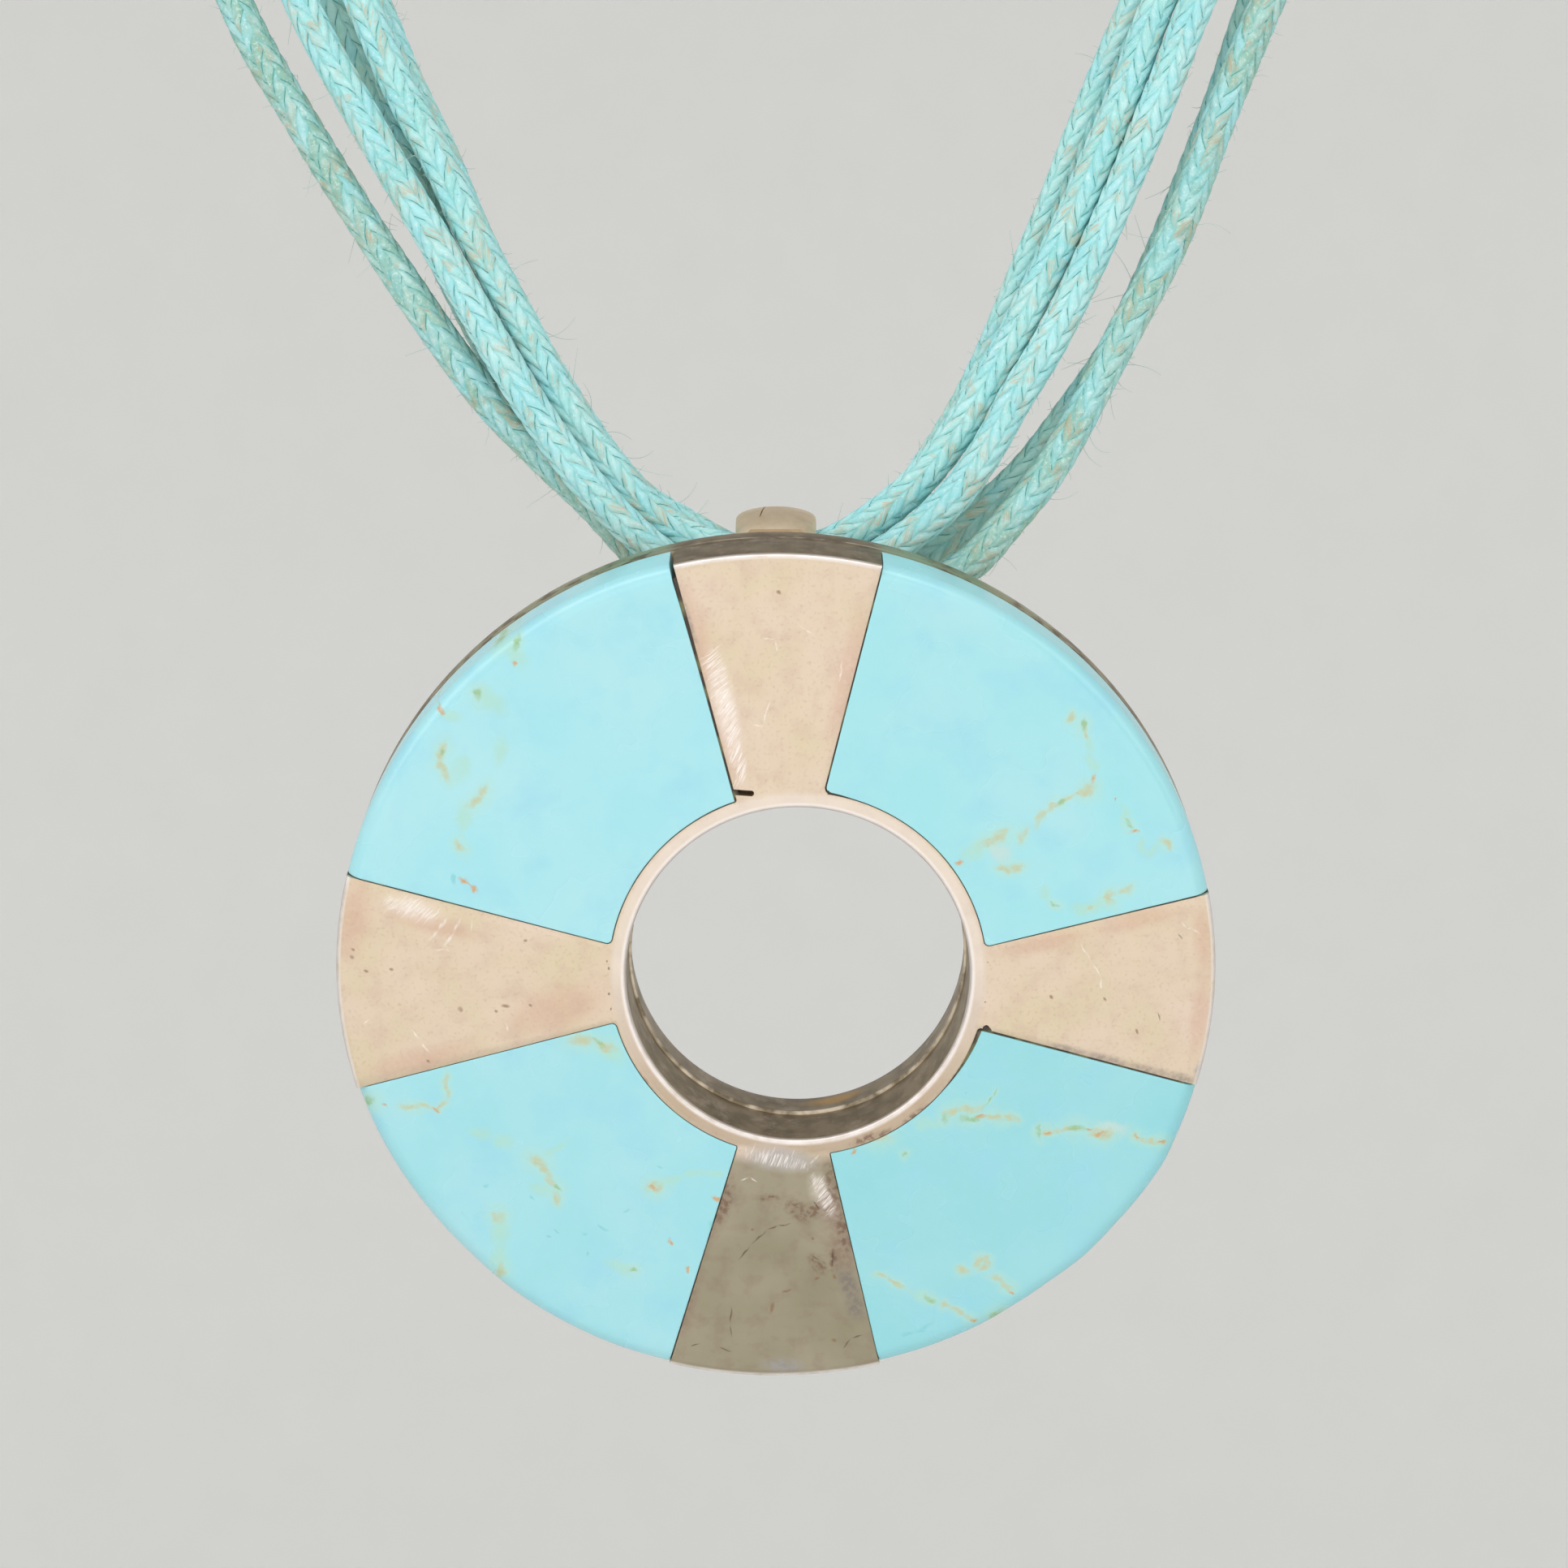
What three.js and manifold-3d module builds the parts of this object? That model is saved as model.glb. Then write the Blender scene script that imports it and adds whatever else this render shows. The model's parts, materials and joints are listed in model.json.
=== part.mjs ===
// A pendant necklace: a thick silver disc with a centre hole, inlaid with four slabs of turquoise,
// hung by a strap bail on five strands of braided cotton cord that close in one barrel clasp.
// Millimetres, +X right, +Y away from the viewer, +Z up. The origin is the nape point, under the clasp.

import * as THREE from "three";
import { mergeVertices } from "three/addons/utils/BufferGeometryUtils.js";
import Module from "manifold-3d";

const wasm = await Module();
wasm.setup();

// Disc, measured in its own face: x right, y up, and z out of the front face, which is at z = 0.
const DISC_RADIUS = 25;
const DISC_THICKNESS = 5.5;
const DISC_CHAMFER = 0.15;
const BACK_EDGE = 0.5;
const FRONT_LAYER = 3.3;
const HOLE = { x: 1.25, y: 0.25, rx: 9.78, ry: 10.1 };
const RING_WALL = 0.95;
const RING_DEPTH = 6.2;
const GAP = 0.3;
const INLAY_ROUND = 0.9;

// Silver wedges: each one's two corners at the rim, turning clockwise, and the two it meets the ring at.
const WEDGES = {
  top: { rim: [[-5.65, 24.5], [5.75, 23.9]], ring: [[-2.3, 11.2], [2.7, 11.35]] },
  right: { rim: [[24.4, 5.25], [24.05, -6.4]], ring: [[12.1, 2.1], [12.05, -3]] },
  bottom: { rim: [[6, -23.8], [-6.2, -23.9]], ring: [[3.1, -10.7], [-2.2, -10.2]] },
  left: { rim: [[-24, -6.6], [-23.8, 6.2]], ring: [[-9.4, -2.6], [-9.8, 2.3]] },
};

// Inlays: each fills the quarter of the front layer that its two signs name.
const INLAYS = [
  { name: "inlay_upper_left", right: -1, up: 1 },
  { name: "inlay_upper_right", right: 1, up: 1 },
  { name: "inlay_lower_left", right: -1, up: -1 },
  { name: "inlay_lower_right", right: 1, up: -1 },
];

// Bail: a half-round strap closed in a loop about the cords, high on the disc's back, and the solder at its
// foot. Its section is [radius, place across the strap], from one side round the crown to the other.
const BAIL = { y: 20.9, depth: 9.8, inside: 3.5, width: 4.6 };
const BAIL_SECTION = [
  [3.5, 2.3], [3.75, 2.3], [3.95, 2.15], [4.2, 1.3], [4.3, 0.45],
  [4.3, -0.45], [4.2, -1.3], [3.95, -2.15], [3.75, -2.3], [3.5, -2.3],
];
const SOLDER = { width: 4.2, height: 6.6, depth: 1.6 };
// The disc hangs with its top leaning towards the viewer, its weight right below the bail's axis.
const TILT_DEG = 18;

// Cords and clasp. A strand's section is an octagon, and its place in the gathered bundle is given
// as millimetres towards the loop's middle and millimetres back.
const CORD_DIAMETER = 2;
const CORD_SIDES = 8;
const STEPS_BETWEEN_POINTS = 2;
const LOOP_HEIGHT = 170;
const BUNDLE = [
  { inward: 1.65, back: -1.2 },
  { inward: -0.63, back: -1.93 },
  { inward: -2.03, back: 0 },
  { inward: -0.63, back: 1.93 },
  { inward: 1.65, back: 1.2 },
];
const CLASP = { half: 12, radius: 4.2, cupDepth: 3 };
const CORD_END = CLASP.half - CLASP.cupDepth + GAP;
// Half of the clasp's outline, as [radius, distance from its middle]: cup, lip, collar, waist and seam.
const CLASP_SECTION = [
  [0, 9], [3.6, 9], [3.6, 11.8], [3.8, 12], [4, 12],
  [4.2, 11.75], [4.2, 6.6], [3.6, 6], [3.6, 0.35], [3.25, 0],
];

// The bundle's line from the right breast up, round the neck and into the clasp: [x, z], with z above the
// bail's axis. It is mirrored for the left.
const NECK_LINE = [
  [40, 67], [48, 85], [54.5, 104], [57, 122], [53.5, 140], [43.5, 154.5], [30, 164.3], [17.5, 169.2],
  [CLASP.half, LOOP_HEIGHT], [CORD_END, LOOP_HEIGHT],
];

// Each strand's own line across the front, left to right through the bail: [x, y, z], with z above the
// bail's axis.
const FRONT_LINES = [
  [
    [-23.9, -1.1, 33.5], [-21.7, -1.1, 28.4], [-19.35, -1, 24], [-17.1, -0.9, 19.3],
    [-15.05, -0.7, 15.6], [-13.1, -0.5, 11.9], [-10.8, -0.5, 8.1], [-9.3, -0.6, 6.3], [-7.7, -0.7, 4.4],
    [-4.9, -0.9, 2.4], [-2.2, -1.12, 1.6], [0, -1.15, 1.4], [2.2, -1.12, 1.75], [4.5, -1, 2.8],
    [7.8, -0.8, 5.3], [10.2, -0.85, 8.2], [11.85, -0.9, 10.8], [16.4, -1, 19.5], [20.1, -1.1, 28.2],
    [22.1, -1.2, 33.5],
  ],
  [
    [-27.4, -1.4, 33.5], [-23.6, -1.4, 26.4], [-18.9, -1.5, 18.3], [-15.8, -1.7, 12.9],
    [-13.9, -1.9, 9.8], [-10.7, -2.1, 5.4], [-7.2, -2.1, 1.9], [-4.4, -1.95, 0], [-2.2, -1.87, -0.7],
    [0, -1.87, -0.75], [2.2, -1.87, -0.6], [4.6, -1.95, 0.5], [7.8, -2, 2.6], [10.4, -2, 5],
    [12.3, -1.95, 7.8], [13.6, -1.85, 10.2], [15.85, -1.7, 13.9], [18.8, -1.7, 20.1], [22.2, -1.8, 28.2],
    [24.3, -1.8, 33.5],
  ],
  [
    [-31.2, -0.4, 33.5], [-27.3, -0.3, 26.4], [-22, -0.2, 18], [-16.8, 0, 10.7], [-13.6, 0.1, 7.3],
    [-10.5, 0.1, 4.4], [-7.4, 0, 1], [-4.8, 0, -1.2], [-2.2, 0, -1.97], [0, 0, -1.97], [2.2, 0, -1.97],
    [5.1, -0.3, -1.8], [8, -0.7, -0.9], [11.3, -1.1, 1.1], [13.2, -1.2, 3.2], [15.4, -1.2, 5.9],
    [17, -1.2, 8.5], [19.8, -1.2, 13.9], [22.6, -1.2, 19.2], [26.1, -1.2, 28.2], [28.3, -1.2, 33.5],
  ],
  [
    [-25.8, 1.6, 33.5], [-23.6, 1.7, 29], [-21.6, 1.8, 24.4], [-19.5, 1.9, 19.4], [-15.8, 1.9, 12.2],
    [-12.2, 2.1, 6.8], [-10, 2.2, 4], [-7.1, 2.2, 1.7], [-4.4, 2, 0.2], [-2.2, 1.87, -0.6],
    [0, 1.87, -0.6], [2.2, 1.87, -0.6], [5.9, 1.7, 0.1], [9.3, 1.4, 2.1], [12.2, 1.1, 4.3],
    [14.6, 1, 6.6], [17.3, 1, 10.1], [19.85, 1.1, 13.9], [22.4, 1.2, 19.2], [26, 1.2, 28.5],
    [27.7, 1.2, 33.5],
  ],
  [
    [-23.3, 1.2, 33.5], [-21.4, 1.3, 29], [-19.2, 1.4, 24.4], [-17.1, 1.6, 19.4], [-13.2, 1.75, 12.2],
    [-9.4, 1.6, 6.6], [-7.7, 1.5, 4.8], [-4.9, 1.35, 3.1], [-2.6, 1.2, 1.85], [0, 1.15, 1.45],
    [2.6, 1.2, 1.85], [5.1, 1.3, 3.1], [7.5, 1.4, 5], [9, 1.5, 7], [11.45, 1.5, 11], [15.15, 1.4, 19.6],
    [20.9, 1.3, 33.5],
  ],
];

const OVERLAP = 0.1;
const BEYOND = 10;
const ROUND_SEGMENTS = 96;
const HOLE_HALF_SEGMENTS = 36;
const SMALL_ROUND_SEGMENTS = 32;

const silver = new THREE.MeshStandardMaterial({ color: 0xd8c6ae, roughness: 0.35, metalness: 1 });
const turquoise = new THREE.MeshStandardMaterial({ color: 0xb0ecee, roughness: 0.35, metalness: 0 });
const cotton = new THREE.MeshStandardMaterial({ color: 0x8fd9d3, roughness: 0.9, metalness: 0 });

// --- solids ---

function solid(geometry) {
  const bare = geometry.index ? geometry.toNonIndexed() : geometry.clone();
  bare.deleteAttribute("normal");
  bare.deleteAttribute("uv");
  const merged = mergeVertices(bare, 1e-5);
  return new wasm.Manifold(
    new wasm.Mesh({
      numProp: 3,
      vertProperties: new Float32Array(merged.attributes.position.array),
      triVerts: new Uint32Array(merged.index.array),
    }),
  );
}

function geometryOf(body) {
  const mesh = body.getMesh();
  const geometry = new THREE.BufferGeometry();
  geometry.setAttribute("position", new THREE.BufferAttribute(mesh.vertProperties, 3));
  geometry.setIndex(new THREE.BufferAttribute(mesh.triVerts, 1));
  geometry.computeVertexNormals();
  return geometry;
}

function named(name, geometry, material) {
  const mesh = new THREE.Mesh(geometry, material.clone());
  mesh.name = name;
  return mesh;
}

// A flat outline pushed back into the disc, from depth front to depth back.
function prism(shape, front, back) {
  const options = { depth: back - front, bevelEnabled: false, curveSegments: HOLE_HALF_SEGMENTS };
  const geometry = new THREE.ExtrudeGeometry(shape, options);
  geometry.translate(0, 0, -back);
  return solid(geometry);
}

// A solid turned about the disc's own axis, from a half section of [radius, depth] points.
function turned(profile) {
  const points = profile.map(([radius, depth]) => new THREE.Vector2(radius, -depth)).reverse();
  const geometry = new THREE.LatheGeometry(points, ROUND_SEGMENTS);
  geometry.rotateX(Math.PI / 2);
  return solid(geometry);
}

// A geometry turned about X, from a section of [radius, x] points that closes or ends on the axis.
function turnedAboutX(section) {
  const points = section.map(([radius, x]) => new THREE.Vector2(radius, x)).reverse();
  const geometry = new THREE.LatheGeometry(points, SMALL_ROUND_SEGMENTS);
  geometry.rotateZ(-Math.PI / 2);
  return geometry;
}

function ellipse(grow) {
  const shape = new THREE.Shape();
  shape.absellipse(HOLE.x, HOLE.y, HOLE.rx + grow, HOLE.ry + grow, 0, 2 * Math.PI);
  return shape;
}

// --- the silver setting ---

// A wedge's outline, carried on past the rim and into the ring, and widened by grow on each side.
function wedgeShape({ rim, ring }, grow) {
  const side = (corner, turn) => {
    const a = new THREE.Vector2(...ring[corner]);
    const b = new THREE.Vector2(...rim[corner]);
    const along = b.clone().sub(a).normalize();
    const out = new THREE.Vector2(-along.y, along.x).multiplyScalar(turn * grow);
    return [a.addScaledVector(along, -RING_WALL).add(out), b.addScaledVector(along, BEYOND).add(out)];
  };
  const [ringA, rimA] = side(0, 1);
  const [ringB, rimB] = side(1, -1);
  return new THREE.Shape([ringA, ringB, rimB, rimA]);
}

// The silver lands of the front layer, from depth front to depth back: the four wedges and the ring.
function lands(grow, front, back) {
  return Object.values(WEDGES).reduce(
    (sum, wedge) => sum.add(prism(wedgeShape(wedge, grow), front, back)),
    prism(ellipse(RING_WALL + grow), front, back),
  );
}

// The bail, turned about X, with a block of solder at its foot that its bore is cut through.
function bail() {
  const strap = turnedAboutX([...BAIL_SECTION, BAIL_SECTION[0]]);
  const { inside, width } = BAIL;
  const bore = turnedAboutX([[0, width], [inside, width], [inside, -width], [0, -width]]);
  for (const round of [strap, bore]) round.translate(0, BAIL.y, -BAIL.depth);
  const foot = new THREE.BoxGeometry(SOLDER.width, SOLDER.height, SOLDER.depth);
  foot.translate(0, BAIL.y, OVERLAP - DISC_THICKNESS - SOLDER.depth / 2);
  return solid(strap).add(solid(foot).subtract(solid(bore)));
}

function setting() {
  const body = turned([
    [0, 0], [DISC_RADIUS - DISC_CHAMFER, 0], [DISC_RADIUS, DISC_CHAMFER],
    [DISC_RADIUS, DISC_THICKNESS - BACK_EDGE], [DISC_RADIUS - BACK_EDGE, DISC_THICKNESS], [0, DISC_THICKNESS],
  ]);
  const back = new THREE.BoxGeometry(4 * DISC_RADIUS, 4 * DISC_RADIUS, BEYOND);
  back.translate(0, 0, -FRONT_LAYER - BEYOND / 2);
  const collar = prism(ellipse(RING_WALL), FRONT_LAYER, RING_DEPTH);
  return body
    .intersect(solid(back).add(lands(0, -OVERLAP, FRONT_LAYER + OVERLAP)))
    .add(collar)
    .add(bail())
    .subtract(prism(ellipse(0), -BEYOND, BEYOND));
}

// --- the turquoise ---

function inlay({ right, up }) {
  const round = [0, 22.5, 45, 67.5, 90].map((deg) => {
    const turn = THREE.MathUtils.degToRad(deg);
    return [DISC_RADIUS - INLAY_ROUND * (1 - Math.sin(turn)), INLAY_ROUND * (1 - Math.cos(turn))];
  });
  const slab = turned([[0, 0], ...round, [DISC_RADIUS, FRONT_LAYER - GAP], [0, FRONT_LAYER - GAP]]);
  const reach = DISC_RADIUS + BEYOND;
  const quarter = new THREE.BoxGeometry(reach, reach, 2 * BEYOND);
  quarter.translate((right * reach) / 2, (up * reach) / 2, 0);
  return slab.intersect(solid(quarter)).subtract(lands(GAP, -BEYOND, BEYOND));
}

// --- cords and clasp ---

// One strand's stretch of the gathered bundle, on the right: the neck line, moved to its place in the bundle.
function neckStretch({ inward, back }) {
  const last = NECK_LINE.length - 1;
  return NECK_LINE.map(([x, z], i) => {
    const from = new THREE.Vector2(...NECK_LINE[Math.max(i - 1, 0)]);
    const to = new THREE.Vector2(...NECK_LINE[Math.min(i + 1, last)]);
    const inTheClasp = i >= last - 1;
    const along = inTheClasp ? new THREE.Vector2(-1, 0) : to.sub(from).normalize();
    return [x - along.y * inward, back, z + along.x * inward];
  });
}

// A cord's line takes the same number of steps between any two of its points, so its rings lie closer
// together where the points do, round the bail.
class CordLine extends THREE.CatmullRomCurve3 {
  getUtoTmapping(u) {
    return u;
  }
}

function strand(index) {
  const right = neckStretch(BUNDLE[index]);
  const left = right.map(([x, y, z]) => [-x, y, z]).reverse();
  const points = [...left, ...FRONT_LINES[index], ...right].map((point) => new THREE.Vector3(...point));
  const section = new THREE.Shape();
  for (let i = 0; i < CORD_SIDES; i++) {
    const turn = (2 * Math.PI * i) / CORD_SIDES;
    const [x, y] = [(CORD_DIAMETER / 2) * Math.cos(turn), (CORD_DIAMETER / 2) * Math.sin(turn)];
    if (i === 0) section.moveTo(x, y);
    else section.lineTo(x, y);
  }
  section.closePath();
  const extrudePath = new CordLine(points, false, "centripetal");
  const steps = STEPS_BETWEEN_POINTS * (points.length - 1);
  return new THREE.ExtrudeGeometry(section, { steps, extrudePath });
}

// The barrel clasp, turned about X: a cup for the cord ends at each side, and a seam round its middle.
function clasp() {
  const mirrored = CLASP_SECTION.slice(0, -1).map(([radius, x]) => [radius, -x]).reverse();
  return turnedAboutX([...CLASP_SECTION, ...mirrored]);
}

// --- assembly ---

const claspAxis = CLASP.radius;
const bailAxis = claspAxis - LOOP_HEIGHT;

const pendant = new THREE.Group();
pendant.rotation.x = THREE.MathUtils.degToRad(90 + TILT_DEG);
pendant.position
  .set(0, BAIL.y, -BAIL.depth)
  .applyEuler(pendant.rotation)
  .negate()
  .add(new THREE.Vector3(0, 0, bailAxis));
pendant.add(named("pendant_setting", geometryOf(setting()), silver));
for (const piece of INLAYS) pendant.add(named(piece.name, geometryOf(inlay(piece)), turquoise));

const cords = new THREE.Group();
cords.position.z = bailAxis;
for (let i = 0; i < FRONT_LINES.length; i++) cords.add(named(`cord_strand_${i + 1}`, strand(i), cotton));

const closing = named("clasp", clasp(), silver);
closing.position.z = claspAxis;

const group = new THREE.Group();
group.add(pendant, cords, closing);
export default group;
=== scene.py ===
"""A cord necklace with an inlaid silver ring pendant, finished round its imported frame.

Metres in the row frame: +X right, +Y away from the viewer, +Z up, the origin at the nape under the clasp.
The pendant is shaped on the bench, in millimetres on its own face: x right, y up, z out of the front,
and is then laid in its place. Cord routes are in millimetres too.
"""

import json
import math
import random
from functools import partial, reduce

import bmesh
import bpy
import numpy as np
from mathutils import Matrix, Vector, noise


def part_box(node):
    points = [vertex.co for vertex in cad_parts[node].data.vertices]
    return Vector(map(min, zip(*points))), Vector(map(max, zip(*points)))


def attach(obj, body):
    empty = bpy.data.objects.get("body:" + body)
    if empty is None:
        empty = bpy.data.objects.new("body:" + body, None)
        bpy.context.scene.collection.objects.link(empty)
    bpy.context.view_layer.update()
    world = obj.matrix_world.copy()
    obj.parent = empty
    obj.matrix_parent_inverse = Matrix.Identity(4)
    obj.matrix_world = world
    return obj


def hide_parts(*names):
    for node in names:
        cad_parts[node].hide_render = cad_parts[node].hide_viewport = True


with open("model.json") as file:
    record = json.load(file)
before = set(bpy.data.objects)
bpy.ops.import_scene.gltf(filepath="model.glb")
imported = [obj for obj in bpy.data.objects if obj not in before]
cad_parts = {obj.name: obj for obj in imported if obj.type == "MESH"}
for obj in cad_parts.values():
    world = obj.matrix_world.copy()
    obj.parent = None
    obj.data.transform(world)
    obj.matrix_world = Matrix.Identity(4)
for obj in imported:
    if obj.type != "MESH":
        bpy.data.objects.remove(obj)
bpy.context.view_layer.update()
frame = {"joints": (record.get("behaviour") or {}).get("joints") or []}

MM = 0.001

bail_axis = Vector(frame["joints"][0]["pos_m"])
clasp_low, clasp_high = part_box("clasp")
clasp_axis_z = (clasp_low.z + clasp_high.z) / 2

# --- the disc, in mm on its own face ---

RIM_RADIUS = 25.0
HOLE_CENTRE = Vector((1.25, 0.25))
HOLE_RADII = Vector((9.78, 10.1))
RING_WALL = 0.95
FRONT_LAYER = 3.3
PLATE_BACK = 5.5
COLLAR_BACK = 6.2
BAIL_CENTRE = Vector((0, 20.9, -9.8))
BAIL_INSIDE = 3.5
BAIL_OUTSIDE = 4.3
BAIL_WIDTH = 4.6
TILT = math.radians(18)

# Silver wedges, clockwise. Each joint line runs through a corner at the ring and one at the rim, and has the
# radius that the ring's corner was left with by the saw.
WEDGE_JOINTS = {
    "top": (((-2.3, 11.2), (-5.65, 24.5), 0.12), ((2.7, 11.35), (5.75, 23.9), 0.45)),
    "right": (((12.1, 2.1), (24.4, 5.25), 0.35), ((12.05, -3.0), (24.05, -6.4), 0.2)),
    "bottom": (((3.1, -10.7), (6.0, -23.8), 0.12), ((-2.2, -10.2), (-6.2, -23.9), 0.12)),
    "left": (((-9.4, -2.6), (-24.0, -6.6), 0.3), ((-9.8, 2.3), (-23.8, 6.2), 0.35)),
}

face_to_row = (
    Matrix.Translation(bail_axis)
    @ Matrix.Rotation(math.pi / 2 + TILT, 4, "X")
    @ Matrix.Scale(MM, 4)
    @ Matrix.Translation(-BAIL_CENTRE)
)

# --- the cords, in mm, with z above the bail's axis on the front and up the neck ---

LOOP_HEIGHT = clasp_axis_z / MM - bail_axis.z / MM
CORD_END = 9.3
CORD_LENGTHS = [0.4165, 0.430, 0.441, 0.432, 0.416]
BUNDLE = [(1.65, -1.2), (-0.63, -1.93), (-2.03, 0.0), (-0.63, 1.93), (1.65, 1.2)]
NECK_LINE = [
    (40, 67), (48, 85), (54.5, 104), (57, 122), (53.5, 140), (43.5, 154.5), (30, 164.3), (17.5, 169.2),
    (12, LOOP_HEIGHT), (CORD_END, LOOP_HEIGHT),
]
FRONT_LINES = [
    [
        (-23.9, -1.1, 33.5), (-21.7, -1.1, 28.4), (-19.35, -1, 24), (-17.1, -0.9, 19.3),
        (-15.05, -0.7, 15.6), (-13.1, -0.5, 11.9), (-10.8, -0.5, 8.1), (-9.3, -0.6, 6.3),
        (-7.7, -0.7, 4.4), (-4.9, -0.9, 2.4), (-2.2, -1.12, 1.6), (0, -1.15, 1.4), (2.2, -1.12, 1.75),
        (4.5, -1, 2.8), (7.8, -0.8, 5.3), (10.2, -0.85, 8.2), (11.85, -0.9, 10.8), (16.4, -1, 19.5),
        (20.1, -1.1, 28.2), (22.1, -1.2, 33.5),
    ],
    [
        (-27.4, -1.4, 33.5), (-23.6, -1.4, 26.4), (-18.9, -1.5, 18.3), (-15.8, -1.7, 12.9),
        (-13.9, -1.9, 9.8), (-10.7, -2.1, 5.4), (-7.2, -2.1, 1.9), (-4.4, -1.95, 0), (-2.2, -1.87, -0.7),
        (0, -1.87, -0.75), (2.2, -1.87, -0.6), (4.6, -1.95, 0.5), (7.8, -2, 2.6), (10.4, -2, 5),
        (12.3, -1.95, 7.8), (13.6, -1.85, 10.2), (15.85, -1.7, 13.9), (18.8, -1.7, 20.1),
        (22.2, -1.8, 28.2), (24.3, -1.8, 33.5),
    ],
    [
        (-31.2, -0.4, 33.5), (-27.3, -0.3, 26.4), (-22, -0.2, 18), (-16.8, 0, 10.7), (-13.6, 0.1, 7.3),
        (-10.5, 0.1, 4.4), (-7.4, 0, 1), (-4.8, 0, -1.2), (-2.2, 0, -1.97), (0, 0, -1.97),
        (2.2, 0, -1.97), (5.1, -0.3, -1.8), (8, -0.7, -0.9), (11.3, -1.1, 1.1), (13.2, -1.2, 3.2),
        (15.4, -1.2, 5.9), (17, -1.2, 8.5), (19.8, -1.2, 13.9), (22.6, -1.2, 19.2), (26.1, -1.2, 28.2),
        (28.3, -1.2, 33.5),
    ],
    [
        (-25.8, 1.6, 33.5), (-23.6, 1.7, 29), (-21.6, 1.8, 24.4), (-19.5, 1.9, 19.4), (-15.8, 1.9, 12.2),
        (-12.2, 2.1, 6.8), (-10, 2.2, 4), (-7.1, 2.2, 1.7), (-4.4, 2, 0.2), (-2.2, 1.87, -0.6),
        (0, 1.87, -0.6), (2.2, 1.87, -0.6), (5.9, 1.7, 0.1), (9.3, 1.4, 2.1), (12.2, 1.1, 4.3),
        (14.6, 1, 6.6), (17.3, 1, 10.1), (19.85, 1.1, 13.9), (22.4, 1.2, 19.2), (26, 1.2, 28.5),
        (27.7, 1.2, 33.5),
    ],
    [
        (-23.3, 1.2, 33.5), (-21.4, 1.3, 29), (-19.2, 1.4, 24.4), (-17.1, 1.6, 19.4),
        (-13.2, 1.75, 12.2), (-9.4, 1.6, 6.6), (-7.7, 1.5, 4.8), (-4.9, 1.35, 3.1), (-2.6, 1.2, 1.85),
        (0, 1.15, 1.45), (2.6, 1.2, 1.85), (5.1, 1.3, 3.1), (7.5, 1.4, 5), (9, 1.5, 7), (11.45, 1.5, 11),
        (15.15, 1.4, 19.6), (20.9, 1.3, 33.5),
    ],
]

# The braid: eight columns of slanting floats round the cord, each float's two ends tucked under the next
# column's. PLAIT_PITCH is the step from one float to the next along the cord.
BRAID_COLUMNS = 8
PLAIT_PITCH = 1.27
FLOAT_RISE = 0.95
COLUMN_WAVER = 0.05
CORD_SIDES = 40
FINE_STEP = 0.13
COARSE_STEP = 0.4
FINE_REACH = 54
CROWN_RADIUS = 1.02
GROOVE_DEPTH = 0.13


# --- camera, lights and floor ---

PENDANT_MIDDLE = Vector((0, 0, -0.185))


def camera():
    """Where the real necklace is seen from: level, a little above the pendant's middle."""
    data = bpy.data.cameras.new("camera")
    data.lens = 82
    data.sensor_width = 36
    seen_from = bpy.data.objects.new("camera", data)
    seen_from.location = (0.46 * MM, -205.86 * MM, -177.5 * MM)
    seen_from.rotation_euler = (math.pi / 2, 0, 0)
    bpy.context.scene.collection.objects.link(seen_from)
    bpy.context.scene.camera = seen_from


def softbox(name, place, size, power):
    """A rectangular soft light that faces the pendant and that the camera doesn't see."""
    data = bpy.data.lights.new(name, "AREA")
    data.shape = "RECTANGLE"
    data.size, data.size_y = size
    data.energy = power
    lamp = bpy.data.objects.new(name, data)
    lamp.visible_camera = False
    lamp.location = place
    lamp.rotation_euler = (PENDANT_MIDDLE - lamp.location).to_track_quat("-Z", "Y").to_euler()
    bpy.context.scene.collection.objects.link(lamp)


def studio():
    """A pale floor that turns up into a round wall, open above, lit softly from in front and overhead."""
    softbox("overhead_light", (-0.1, -0.62, 0.62), (1.5, 0.35), 4.3)
    softbox("front_light", (0.0, -0.95, -0.08), (0.9, 0.6), 1.25)
    softbox("left_light", (-0.9, -0.6, 0.1), (0.5, 0.8), 2.15)
    softbox("right_light", (0.9, -0.6, 0.1), (0.5, 0.8), 1.45)
    softbox("low_light", (0.0, -0.75, -0.62), (1.2, 0.4), 1.25)
    world = bpy.data.worlds.new("studio_air")
    world.use_nodes = True
    air = world.node_tree.nodes["Background"]
    air.inputs["Color"].default_value = (1, 1, 1, 1)
    air.inputs["Strength"].default_value = 0.485
    bpy.context.scene.world = world
    bpy.context.scene.view_settings.view_transform = "Standard"

    floor_z, flat, turn, top, steps = -0.78, 1.1, 0.6, 1.2, 12
    outline = [(0, 0, floor_z), (flat, 0, floor_z)]
    for step in range(1, steps + 1):
        angle = math.pi / 2 * step / steps
        outline.append((flat + turn * math.sin(angle), 0, floor_z + turn * (1 - math.cos(angle))))
    outline.append((flat + turn, 0, top))
    bm = bmesh.new()
    turned(bm, outline, "Z", 64)
    weld(bm, 1e-6)
    bmesh.ops.reverse_faces(bm, faces=bm.faces)
    finished("studio_floor", bm, studio_paper(), Matrix())


# --- making pieces ---


def stood(name, mesh, material):
    """An object at the origin with its mesh and its material."""
    if material:
        mesh.materials.append(material)
    piece = bpy.data.objects.new(name, mesh)
    bpy.context.scene.collection.objects.link(piece)
    return piece


def shaded(mesh):
    """Smooth shading, apart from the real corners."""
    mesh.shade_smooth()
    mesh.set_sharp_from_angle(angle=math.radians(35))


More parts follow.
